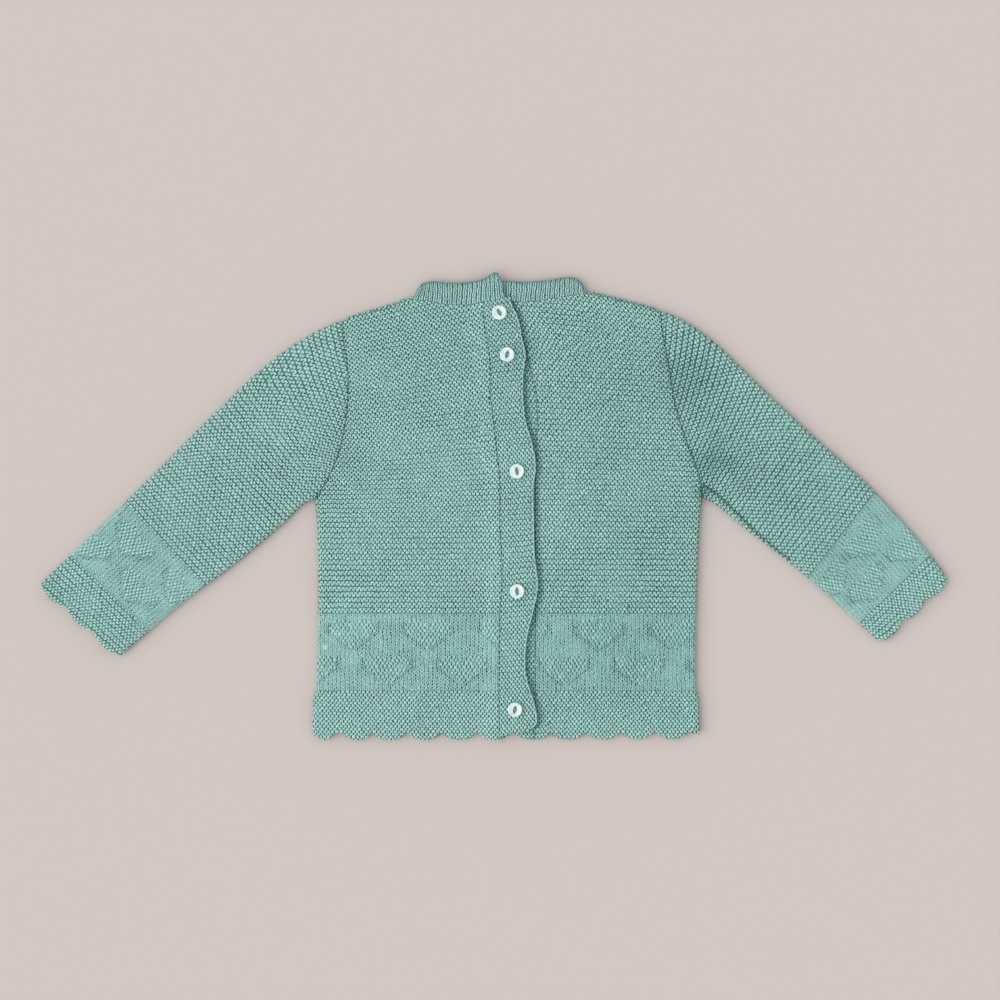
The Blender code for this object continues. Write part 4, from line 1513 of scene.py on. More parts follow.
@dataclass
class Shell:
    """Gathers points, faces and attributes of one closed piece."""

    points: list = field(default_factory=list)
    faces: list = field(default_factory=list)
    knit: list = field(default_factory=list)
    kind: list = field(default_factory=list)
    tone: list = field(default_factory=list)
    count: int = 0

    def add(self, points: Array, knit: Array, kind: Array, tone: Array) -> int:
        """Add points with their attributes.

        Args:
            points: Rows of x, y and z in millimetres.
            knit: Wale, course and furrow.
            kind: Garter share, purl share and slit depth.
            tone: Painted light, or painted shade below 0; high values mark a real fleck.

        Returns:
            Number of the first point added.
        """
        first = self.count
        self.points.append(points)
        self.knit.append(knit)
        self.kind.append(kind)
        self.tone.append(tone)
        self.count += len(points)
        return first

    def add_hidden(self, sheet: Surface, knitting: Knitting, height: Array, tone: float) -> int:
        """Add the points of a hidden side.

        Args:
            sheet: The side's points in plan.
            knitting: How its stitches lie.
            height: A height for each point.
            tone: Its tone, a painted shade.

        Returns:
            Number of the first point added.
        """
        knit, kind, *_ = knit_layers(sheet, knitting)
        spots = np.column_stack((sheet.plan, height))
        return self.add(spots, knit, kind, np.full(len(spots), tone))

    def add_faces(self, faces: Array) -> None:
        """Add faces of one corner count, by point numbers."""
        self.faces.append(faces)

    def strip(self, first: Array, second: Array) -> None:
        """Quads between two rows of point numbers, seen from outside with first below."""
        self.faces.append(np.stack((first[:-1], first[1:], second[1:], second[:-1]), axis=1))

    def build(self, name: str, material: Material) -> Object:
        """Make the object.

        Args:
            name: Its name.
            material: Its finish.

        Returns:
            The object, at the origin, with its place in its mesh.
        """
        mesh = bpy.data.meshes.new(name)
        points = np.vstack(self.points) * MM
        faces = [face for block in self.faces for face in block.tolist()]
        mesh.from_pydata(points.tolist(), [], faces)
        for label, kind, key, values in (
            ("knit", "FLOAT_VECTOR", "vector", self.knit),
            ("kind", "FLOAT_VECTOR", "vector", self.kind),
            ("tone", "FLOAT", "value", self.tone),
        ):
            layer = mesh.attributes.new(label, kind, "POINT")
            layer.data.foreach_set(key, np.concatenate(values).astype(np.float32).ravel())
        mesh.shade_smooth()
        LOG.info("%s: %d triangles", name, sum(len(face) - 2 for face in faces))
        return placed(name, mesh, material)


def placed(name: str, mesh: Mesh, material: Material) -> Object:
    """A mesh as a piece of the scene.

    Args:
        name: Name of the piece.
        mesh: Its mesh, already in place.
        material: Its finish.

    Returns:
        The piece.
    """
    mesh.materials.clear()
    mesh.materials.append(material)
    piece = bpy.data.objects.new(name, mesh)
    bpy.context.scene.collection.objects.link(piece)
    return piece


def stand_for(piece: Object, node: str) -> None:
    """Tell the frame which solid a knitted piece stands for."""
    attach(piece, "root")
    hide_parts(node)


# ---- panels


@dataclass
class Panel:
    """One flat knitted panel: a fine upper side, a rim and a plain underside.

    Attributes:
        name: Name of its node.
        borders: Pairs of a line and what edge it is, which close against the clock.
        knitting: How its stitches lie.
        level: Height of its underside.
        per_wale: Mesh columns for each wale.
        per_course: Mesh rows for each course.
        rests_on: What it lies on; not used.
        edge_rows: Distances of the rows of points beside the outline.
        face_down: Whether the fine side is the lower one.
        hidden_painted_shade: Painted shade on the plain side.
    """

    name: str
    borders: list
    knitting: Knitting
    level: float
    per_wale: int = 4
    per_course: int = 3
    rests_on: tuple[str, ...] = ()
    edge_rows: tuple[float, ...] = EDGE_ROWS
    face_down: bool = False
    # Painted shade on the plain side
    hidden_painted_shade: float = -0.1

    def outline(self) -> Array:
        """Closed outline from the borders, each starting where the last one ends.

        Returns:
            Its points, against the clock.
        """
        lines = []
        for line, kind in self.borders:
            line = evenly(line, EDGE_SPACING)
            if kind is Kind.FOLD:
                line = toothed(line, self.knitting, -1)
            lines.append(line[:-1])
        return np.vstack(lines)

    def hidden_height(self, plan: Array) -> Array:
        """Height of the plain side."""
        return np.full(len(plan), self.level)

    def showing_height(self, plan: Array, share: Array, relief: Array) -> Array:
        """Height of the fine side."""
        high = self.hidden_height(plan) + CLOTH_WALL * share
        return high + (folds_rise(plan, FOLDS) - RELIEF_DEPTH * (CREST - relief)) * settled(share)

    def thinning(self, plan: Array) -> tuple[Array, Array, Array]:
        """Share of the wall left near the edges, the painted shade along them, and how open they
        are.

        Args:
            plan: Points in plan.

        Returns:
            Share of the wall, tone of painted shade, and how much deeper the slits are.
        """
        share, tone, opened = np.ones(len(plan)), np.zeros(len(plan)), np.zeros(len(plan))
        for line, kind in self.borders:
            shape = EDGE_SHAPES[kind]
            away = distance_to(line, plan)
            share = np.minimum(share, shape.left(away))
            tone -= shape.dark * bell(away, shape.dark_reach)
            opened += shape.opened * bell(away, 2 * shape.dark_reach)
        return share, tone, opened

    def extra_tone(self, plan: Array) -> Array:
        """Further marks on the fine side, none here: painted shade and light in some panels, a real
        fleck in one.
        """
        return np.zeros(len(plan))

    def build(self, material: Material) -> Object:
        """Args:
            material: Its finish.

        Returns:
            The piece.
        """
        outline = self.outline()
        fine = cover(outline, self.knitting, self.per_wale, self.per_course, self.edge_rows)
        plain = cover_plainly(outline, self.knitting)
        share, tone, opened = self.thinning(fine.plan)
        knit, kind, relief, marks = knit_layers(fine, self.knitting, opened)
        spots = np.column_stack((fine.plan, self.showing_height(fine.plan, share, relief)))
        shell = Shell()
        # The tone sums painted shade along the edges, the painted shade and light of the spots and
        # hearts, and the panel's own marks
        first = shell.add(spots, knit, kind, tone + marks + self.extra_tone(fine.plan))
        height = self.hidden_height(plain.plan)
        second = shell.add_hidden(plain, self.knitting, height, self.hidden_painted_shade)
        sides = ((plain.faces + second, second), (fine.faces + first, first))
        (lower, below), (upper, above) = sides[::-1] if self.face_down else sides
        shell.add_faces(upper)
        shell.add_faces(lower[:, ::-1])
        ring = np.arange(fine.edge_count + 1) % fine.edge_count
        shell.strip(ring + below, ring + above)
        piece = shell.build(f"{self.name}_knit", material)
        self.declare(piece)
        return piece

    def declare(self, piece: Object) -> None:
        """Tell the frame what the piece stands for.

        Args:
            piece: The piece.
        """
        stand_for(piece, self.name)


@dataclass
class LeftBack(Panel):
    """Back half on the left, lifted over the button band towards the opening."""

    fleck: tuple[float, ...] = (-118.4, -98.4, 0.95, 2.4)

    def hidden_height(self, plan: Array) -> Array:
        """Height of the underside."""
        seam = section_line(BUTTONHOLE_BAND, 1, plan[:, 1])[:, 0]
        return self.level + LAYER_STEP * smoothstep(1 - (seam - plan[:, 0]) / OPENING_LIFT_REACH)

    def extra_tone(self, plan: Array) -> Array:
        """The fleck on the plain stretch."""
        return spots_at(plan, (self.fleck,))


@dataclass
class BandPanel(Panel):
    """Buttonhole band, with a painted highlight on the chain of loops along its free edge and
    painted shade in the holes beside it.
    """

    # Place, reach and amount of the painted highlight on the chain and of the painted shade in the
    # holes
    chain: tuple[float, float, float] = (0.45, 0.65, 0.75)
    chain_swell: float = 0.2
    holes: tuple[float, float, float] = (1.9, 0.5, 0.35)
    loop_turn: float = 1.9

    def extra_tone(self, plan: Array) -> Array:
        """Painted highlight on the chain at the free edge, with painted shade in a row of holes
        beside it.

        Args:
            plan: Points in plan.

        Returns:
            A tone for each point.
        """
        away, along = nearest_on(self.borders[1][0], plan)
        loops = np.cos(along * self.loop_turn)
        chain_at, chain_reach, pale = self.chain
        holes_at, holes_reach, dark = self.holes
        chain = pale * bell(away - chain_at, chain_reach) * (1 + self.chain_swell * loops)
        return chain - dark * bell(away - holes_at, holes_reach) * (0.5 + 0.5 * loops)


class FrontPanel(Panel):
    """Whole front, face down: its knitted side is the underside that lies on the table."""

    def hidden_height(self, plan: Array) -> Array:
        """Height of the plain side, which is the upper one."""
        return np.full(len(plan), CLOTH_WALL)

    def showing_height(self, plan: Array, share: Array, relief: Array) -> Array:
        """Height of the knitted side."""
        rise = RELIEF_DEPTH * np.clip(CREST - relief, 0.0, 1.0) + folds_rise(plan, FRONT_FOLDS)
        return CLOTH_WALL * (1 - share) + rise * settled(share)


@dataclass
class ShadedPanel(Panel):
    """Panel that is shaded along the free edge of the buttonhole band above it."""

    shade_at: float = 1.4
    shade_reach: float = 2.7
    shade: float = 0.36

    def extra_tone(self, plan: Array) -> Array:
        """Darkening beside the upper band's edge."""
        edge = section_line(BUTTONHOLE_BAND, 2, plan[:, 1])[:, 0]
        return -self.shade * bell(plan[:, 0] - edge - self.shade_at, self.shade_reach)


# ---- sleeves


@dataclass
class Sleeve:
    """Long sleeve, an open tube folded flat.

    Attributes:
        name: Name of its node.
        top: Line of the fold along the top, from body to cuff.
        under: Line of the fold along the underarm, from body to cuff.
        armhole: Line of the armhole from the shoulder to the underarm.
        side: 1 for the sleeve on the left, -1 for the right.
        knitting: How its stitches lie.
        seam: Line of the underarm seam where it shows, or nothing.
        curl: How far the cuff's scallops curl up.
    """

    name: str
    top: Table
    under: Table
    armhole: Table
    side: int
    knitting: Knitting
    seam: Table = ()
    curl: float = 0.0
    curl_reach: float = 2.6
    armhole_open: tuple[float, float] = (0.5, 2.2)
    seam_open: tuple[float, float] = (0.7, 1.4)
    seam_sunk: tuple[float, float] = (0.7, 0.9)
    # Painted shade in the groove of the underarm seam
    seam_painted_shade: float = 0.5
    swell_reach: float = 6.0
    end_reach: float = 20.0
    # Painted shade inside the tube
    inner_painted_shade: float = -0.2

    def edges(self, with_teeth: bool = True) -> dict[str, Array]:
        """The four edges: armhole and cuff from top to underarm, folds from body to cuff.

        Args:
            with_teeth: Whether the folds bulge at each ridge.

        Returns:
            The edges by name.
        """
        armhole = offset(smooth(self.armhole), -self.side * SEWN_GAP)
        top, under = smooth(self.top), smooth(self.under)
        top[0], under[0] = armhole[0], armhole[-1]
        straight = np.stack((top[-1], under[-1]))
        fractions = np.linspace(0.0, 1.0, CUFF_POINTS)
        way = straight[1] - straight[0]
        outward = np.array((way[1], -way[0])) * self.side / np.linalg.norm(way)
        phase = scalloped((fractions * CUFF_SCALLOPS) % 1.0)
        bulge = CUFF_SCALLOP_DEPTH * np.sin(np.pi * phase) ** SCALLOP_FULLNESS
        cuff = at_length(straight, fractions) + outward * bulge[:, None]
        lines = {"armhole": armhole, "cuff": cuff, "top": top, "under": under}
        edges = {label: evenly(line, EDGE_SPACING) for label, line in lines.items()}
        if with_teeth:
            edges["top"] = toothed(edges["top"], self.knitting, -self.side)
            edges["under"] = toothed(edges["under"], self.knitting, self.side)
        return edges

    def inner_edges(self) -> dict[str, Array]:
        """The edges of the inner wall, point for point, its folds set in by the wall.

        Returns:
            The edges by name.
        """
        edges = self.edges(with_teeth=False)
        inner = {}
        for label in ("armhole", "cuff"):
            share = CLOTH_WALL / length_of(edges[label])
            marks = np.linspace(share, 1 - share, len(edges[label]))
            inner[label] = at_length(edges[label], marks)
        for label, end, way in (("top", 0, 1), ("under", -1, -1)):
            line = offset(edges[label], self.side * way * CLOTH_WALL)
            start, stop = inner["armhole"][end], inner["cuff"][end]
            first = int(np.argmin(np.hypot(*(line - start).T))) + 2
            last = int(np.argmin(np.hypot(*(line - stop).T))) - 1
            line = np.vstack((start, line[first:last], stop))
            inner[label] = at_length(line, np.linspace(0.0, 1.0, len(edges[label])))
        return inner

    @staticmethod
    def loop(edges: dict[str, Array]) -> tuple[Array, Array]:
        """Closed outline round the four edges, against the clock.

        Args:
            edges: The edges by name.

        Returns:
            The outline, and for each of its points whether an open end follows it.
        """
        around = (edges["armhole"], edges["under"], edges["cuff"][::-1], edges["top"][::-1])
        outline = np.vstack([part[:-1] for part in around])
        opens = np.concatenate([
            np.full(len(part) - 1, open_end) for part, open_end in zip(around, (True, False) * 2)
        ])
        if area_of(outline) < 0:
            outline, opens = outline[::-1], np.roll(opens[::-1], -1)
        return outline, opens

    def build(self, material: Material) -> Object:
        """Args:
            material: Its finish.

        Returns:
            The piece.
        """
        edges = self.edges()
        outline, opens = self.loop(edges)
        shell = Shell()
        sides = []
        for upper, per_wale, per_course in ((True, 4, 3), (False, 3, 2)):
            fine = cover(outline, self.knitting, per_wale, per_course)
            sides.append((fine, shell.add(*self.layer(fine, edges, upper))))
        self.join(shell, sides, opens, edges)
        piece = shell.build(f"{self.name}_knit", material)
        stand_for(piece, self.name)
        length = length_of(np.stack((
            (edges["armhole"][0] + edges["armhole"][-1]) / 2,
            (edges["cuff"][0] + edges["cuff"][-1]) / 2,
        )))
        return piece

    def layer(self, surface: Surface, edges: dict[str, Array], upper: bool) -> tuple[Array, ...]:
        """Points and attributes of the upper or the lower outer side.

        Args:
            surface: Its points in plan.
            edges: The sleeve's edges.
            upper: Whether it is the upper side.

        Returns:
            Points, knit, kind and tone.
        """
        plan = surface.plan
        top, under, armhole, cuff = (
            distance_to(edges[label], plan) for label in ("top", "under", "armhole", "cuff")
        )
        near = np.clip(1 - np.minimum(top, under) / FOLD_OUTER, 0.0, 1.0)
        lift = np.sqrt(1 - near**2)
        gap = distance_to(np.array(self.seam), plan) if upper and self.seam else np.inf
        opened, reach = self.armhole_open
        opened = opened * bell(armhole, reach) + self.seam_open[0] * bell(gap, self.seam_open[1])
        knit, kind, relief, marks = knit_layers(surface, self.knitting, opened)
        sewn, free = EDGE_SHAPES[Kind.SEAM], EDGE_SHAPES[Kind.FREE]
        thin = np.minimum(sewn.left(armhole), free.left(cuff))
        flat = settled(thin) * smoothstep(lift)
        sunk = bell(gap, self.seam_sunk[1])
        # Painted shade in the armhole seam and along the sunk underarm seam, added to the stitches'
        # tone
        tone = marks - sewn.dark * bell(armhole, sewn.dark_reach) - self.seam_painted_shade * sunk
        if upper:
            across = top / np.maximum(top + under, 0.1)
            along = armhole / np.maximum(armhole + cuff, 0.1)
            rise = SLEEVE_LOFT * np.sin(np.pi * across) * np.sin(np.pi * along) ** 0.5
            rise += folds_rise(plan, FOLDS) + self.curl * np.exp(-cuff / self.curl_reach)
            rise += FOLD_OUTER - CLOTH_WALL * (1 - thin) - self.seam_sunk[0] * sunk
            height = MID_HEIGHT + rise * lift - RELIEF_DEPTH * (CREST - relief) * flat
        else:
            height = MID_HEIGHT - FOLD_OUTER * lift + CLOTH_WALL * (1 - thin)
            height += RELIEF_DEPTH * np.clip(CREST - relief, 0.0, 1.0) * flat
            height = np.maximum(height, 0.0)
        return np.column_stack((plan, height)), knit, kind, tone

    def line_height(self, plan: Array, edges: dict[str, Array], upper: bool) -> Array:
        """Height of the inner wall.

        Args:
            plan: Points in plan.
            edges: The sleeve's edges.
            upper: Whether it is the upper inner wall.

        Returns:
            A height for each point.
        """
        top, under, armhole, cuff = (
            distance_to(edges[label], plan) for label in ("top", "under", "armhole", "cuff")
        )
        swell = np.clip((np.minimum(top, under) - CLOTH_WALL) / self.swell_reach, 0.0, 1.0)
        if not upper:
            return MID_HEIGHT - FOLD_INNER * swell
        loft = np.clip(np.minimum(armhole, cuff) / self.end_reach, 0.0, 1.0)
        return MID_HEIGHT + FOLD_INNER * swell + 0.5 * SLEEVE_LOFT * swell * loft

    def join(self, shell: Shell, sides: list, opens: Array, edges: dict[str, Array]) -> None:
        """Join both outer sides, and line the tube with a plain inner wall in painted shade.

        Args:
            shell: The shell with both outer sides' points.
            sides: Surface and first point number of the upper and the lower outer side.
            opens: For each outline point, whether an open end follows it.
            edges: The sleeve's edges.
        """
        count = len(opens)
        on_fold = ~(opens & np.roll(opens, 1))
        inner, _ = self.loop(self.inner_edges())
        sheets = []
        for upper in (True, False):
            sheet = cover_plainly(inner, self.knitting)
            height = self.line_height(sheet.plan, edges, upper)
            first = shell.add_hidden(sheet, self.knitting, height, self.inner_painted_shade)
            sheets.append((sheet, first))
        # Points on the folds are shared: the lower side's numbers lead to the upper side's
        leads = []
        for (_, upper_first), (lower, lower_first) in (sides, sheets):
            lead = np.arange(len(lower.plan)) + lower_first
            lead[:count][on_fold] = np.arange(count)[on_fold] + upper_first
            leads.append(lead)
        (upper, out_first), (lower, _) = sides
        (inner_up, in_first), (inner_low, _) = sheets
        outer_lead, inner_lead = leads
        shell.add_faces(upper.faces + out_first)
        shell.add_faces(outer_lead[lower.faces][:, ::-1])
        shell.add_faces((inner_up.faces + in_first)[:, ::-1])
        shell.add_faces(inner_lead[inner_low.faces])
        here = np.flatnonzero(opens)
        after = (here + 1) % count
        shell.add_faces(np.stack(
            (here + in_first, after + in_first, after + out_first, here + out_first), axis=1
        ))
        shell.add_faces(np.stack(
            (outer_lead[after], inner_lead[after], inner_lead[here], outer_lead[here]), axis=1
        ))


# ---- collar


@dataclass(frozen=True)
class Section:
    """One section across the collar's wall."""

    base: Array
    top: Array
    outward: tuple[float, float] = (0.0, 0.0)
    degrees: float = 0.0
    lift: float = 0.0

    def wall(self, up: Array, radius: Array) -> Array:
        """Points of the wall at shares of its height and radii from the fold's middle.

        Args:
            up: Shares of the height.
            radius: Radii from the fold's middle.

        Returns:
            Rows of x, y and z.
        """
        turn = math.radians(self.degrees)
        plan = self.base + up[:, None] * (self.top - self.base)
        plan = plan + np.array(self.outward) * (radius * math.sin(turn))[:, None]
        height = np.maximum(MID_HEIGHT + radius * math.cos(turn) + self.lift, 0.0)
        return np.column_stack((plan, height))


@dataclass
class Collar:
    """Narrow neckband, folded flat at both sides and open at the back."""

    name: str = "collar"
    wale_pitch: float = 3.42
    course_pitch: float = 1.75
    course_start: float = 0.3
    split: float = 0.5
    columns_per_wale: int = 5
    rows: int = 30
    inner_rows: int = 6
    fine_steps: int = 2000
    overlap: int = 3
    front_ends: tuple[float, float] = (0.03, 0.97)
    relief_slit: float = 0.66
    relief_depth: float = 0.65
    relief_reach: float = 1.6
    seam: tuple[float, float] = (0.45, 2.4)
    rim: tuple[float, float] = (0.62, 4.2)
    inner_edge: float = 0.4
    slit: tuple[float, float] = (0.72, 1.2)
    # Painted light over the outer side, painted shade at the rolled rim, and the reach of that
    # shade; then painted light along the base seam and its reach
    tone: tuple[float, float, float] = (0.15, 0.40, 1.5)
    seam_painted_light: tuple[float, float] = (0.12, 1.2)
    # Painted shade on the inner side
    inner_painted_shade: float = -0.1

    def half(self, base: Array, top: Array, lifted: bool) -> list[Section]:
        """Sections of one half of the back, from the opening to the fold.

        Args:
            base: Its neckline.
            top: Its rim, point for point.
            lifted: Whether it rises over the other half.

        Returns:
            The sections.
        """
        spacing = self.wale_pitch / self.columns_per_wale
        marks = np.linspace(0.0, 1.0, round(length_of(base) / spacing) + 1)
        index = np.linspace(0.0, len(base) - 1, self.fine_steps)
        line, crown = (
            np.stack([np.interp(index, np.arange(len(way)), way[:, axis]) for axis in (0, 1)], 1)
            for way in (base, top)
        )
        reached = np.concatenate(([0.0], np.cumsum(np.hypot(*np.diff(line, axis=0).T))))
        here = np.interp(marks * reached[-1], reached, np.arange(self.fine_steps))
        here = np.round(here).astype(int)
        nearness = 1 - (NECK_LEFT[-1][0] - line[here, 0]) / OPENING_LIFT_REACH
        lifts = LAYER_STEP * smoothstep(nearness) * lifted
        return [
            Section(spot, over, lift=float(lift))
            for spot, over, lift in zip(line[here], crown[here], lifts)
        ]

    def sections(self) -> list[Section]:
        """Sections round the neck, from the opening's upper end to its lower one.

        Returns:
            The sections.
        """
        left_base = smooth((*NECK_LEFT, *NECK_LEFT_OPENING), COLLAR_STEPS)[::-1]
        left_top = smooth(COLLAR_TOP_LEFT, COLLAR_STEPS)[::-1]
        right_base = smooth((*NECK_RIGHT_HIDDEN, *NECK_RIGHT), COLLAR_STEPS)
        right_top = smooth(COLLAR_TOP_RIGHT, COLLAR_STEPS)
        front_base = at_length(smooth(FRONT_NECK), np.linspace(0.0, 1.0, FRONT_NECK_POINTS))
        front_top = offset(front_base, COLLAR_HEIGHT)
        spacing = self.wale_pitch / self.columns_per_wale
        inward = np.array((FOLD_OUTER, 0.0))
        turn = np.linspace(0.0, 180.0, round(math.pi * FOLD_OUTER / spacing))
        marks = np.linspace(*self.front_ends, round(length_of(front_base) / spacing))
        fronts = zip(at_length(front_base, marks), at_length(front_top, marks))
        left = (left_base[-1] + inward, left_top[-1] + inward, (-1.0, 0.0))
        right = (right_base[-1] - inward, right_top[-1] - inward, (1.0, 0.0))
        return [
            *self.half(left_base, left_top, True)[:-self.overlap],
            *(Section(*left, degrees) for degrees in turn),
            *(Section(base, top, degrees=180.0) for base, top in fronts),
            *(Section(*right, degrees) for degrees in turn[::-1]),
            *self.half(right_base, right_top, False)[-self.overlap - 1::-1],
        ]

    def add_section(self, shell: Shell, section: Section, wale: float) -> Array:
        """Add a section's points: up its outer side and down its inner one.

        Args:
            shell: The shell.
            section: The section.
            wale: Count of stitches there.

        Returns:
            Numbers of its points in order.
        """
        up = np.linspace(0.0, 1.0, self.rows)
        inner_up = np.linspace(1.0, 0.0, self.inner_rows + 1)[1:]
        tall = np.hypot(*(section.top - section.base))
        from_base, from_rim = up * tall, (1 - up) * tall
        spots = section.base + up[:, None] * (section.top - section.base)
        wales = wale + wandering(spots, COLLAR_WALE_WAVES)
        courses = from_base / self.course_pitch + self.course_start
        courses = courses + wandering(spots, COLLAR_COURSE_WAVES)
        relief = np.clip(plain_relief(wales, courses, self.relief_slit, self.split), 0.0, 1.0)
        flat = np.clip(from_rim / self.relief_reach, 0.0, 1.0)
        sewn = np.clip(from_base / self.seam[1], 0.0, 1.0)
        crown = 1 - np.clip(1 - from_rim / self.rim[1], 0.0, 1.0) ** 2
        radius = FOLD_OUTER - self.rim[0] * CLOTH_WALL * (1 - np.sqrt(crown))
        radius -= self.seam[0] * CLOTH_WALL * (1 - np.sqrt(1 - (1 - sewn) ** 2))
        radius -= self.relief_depth * (CREST - relief) * flat * np.sqrt(sewn)
        inner_radius = np.full(len(inner_up), FOLD_INNER)
        inner_radius[0] += self.inner_edge
        points = np.vstack((section.wall(up, radius), section.wall(inner_up, inner_radius)))
        knit = np.column_stack((
            np.concatenate((wales, np.full(len(inner_up), wale))),
            np.concatenate((courses, inner_up * tall / self.course_pitch)),
            np.full(len(points), (self.split - PLAIN_SPLIT) / SPLIT_BY_FURROW),
        ))
        kind = np.zeros((len(points), 3))
        kind[:, 2] = self.slit[0]
        kind[: self.rows, 2] *= 1 - bell(from_rim, self.slit[1])
        # Painted light over the outer side, painted shade at the rim and on the inner side, and
        # painted light along the base seam
        pale, dark, dark_reach = self.tone
        tone = np.full(len(points), self.inner_painted_shade)
        tone[: self.rows] = pale - dark * bell(from_rim, dark_reach)
        tone[: self.rows] += self.seam_painted_light[0] * bell(from_base, self.seam_painted_light[1])
        return shell.add(points, knit, kind, tone) + np.arange(len(points))

    def build(self, material: Material) -> Object:
        """Args:
            material: Its finish.

        Returns:
            The piece.
        """
        sections = self.sections()
        bases = np.array([section.base for section in sections])
        turned = np.radians([section.degrees for section in sections])
        steps = np.hypot(*np.diff(bases, axis=0).T) + np.abs(np.diff(turned)) * FOLD_OUTER
        travelled = np.concatenate(([0.0], np.cumsum(steps)))
        shell = Shell()
        rings = [
            self.add_section(shell, section, reached / self.wale_pitch)
            for section, reached in zip(sections, travelled)
        ]
        for first, second in zip(rings, rings[1:]):
            following = np.roll(first, -1)
            shell.add_faces(np.stack((first, following, np.roll(second, -1), second), axis=1))
        shell.add_faces(rings[0][None, ::-1])
        shell.add_faces(rings[-1][None, :])
        piece = shell.build("collar_knit", material)
        stand_for(piece, self.name)
        return piece


# ---- buttons


def deselect() -> None:
    """Leave nothing selected, so that operators act on the new shape alone."""
    for thing in bpy.context.selected_objects:
        thing.select_set(False)


def settle_modifiers(thing: Object) -> None:
    """Apply an object's modifiers in order."""
    bpy.context.view_layer.objects.active = thing
    for modifier in list(thing.modifiers):
        bpy.ops.object.modifier_apply(modifier=modifier.name)


def settle_place() -> Object:
    """Apply the active object's place, turn and scale to its mesh, and return it."""
    bpy.ops.object.transform_apply(location=True, rotation=True, scale=True)
    return bpy.context.active_object


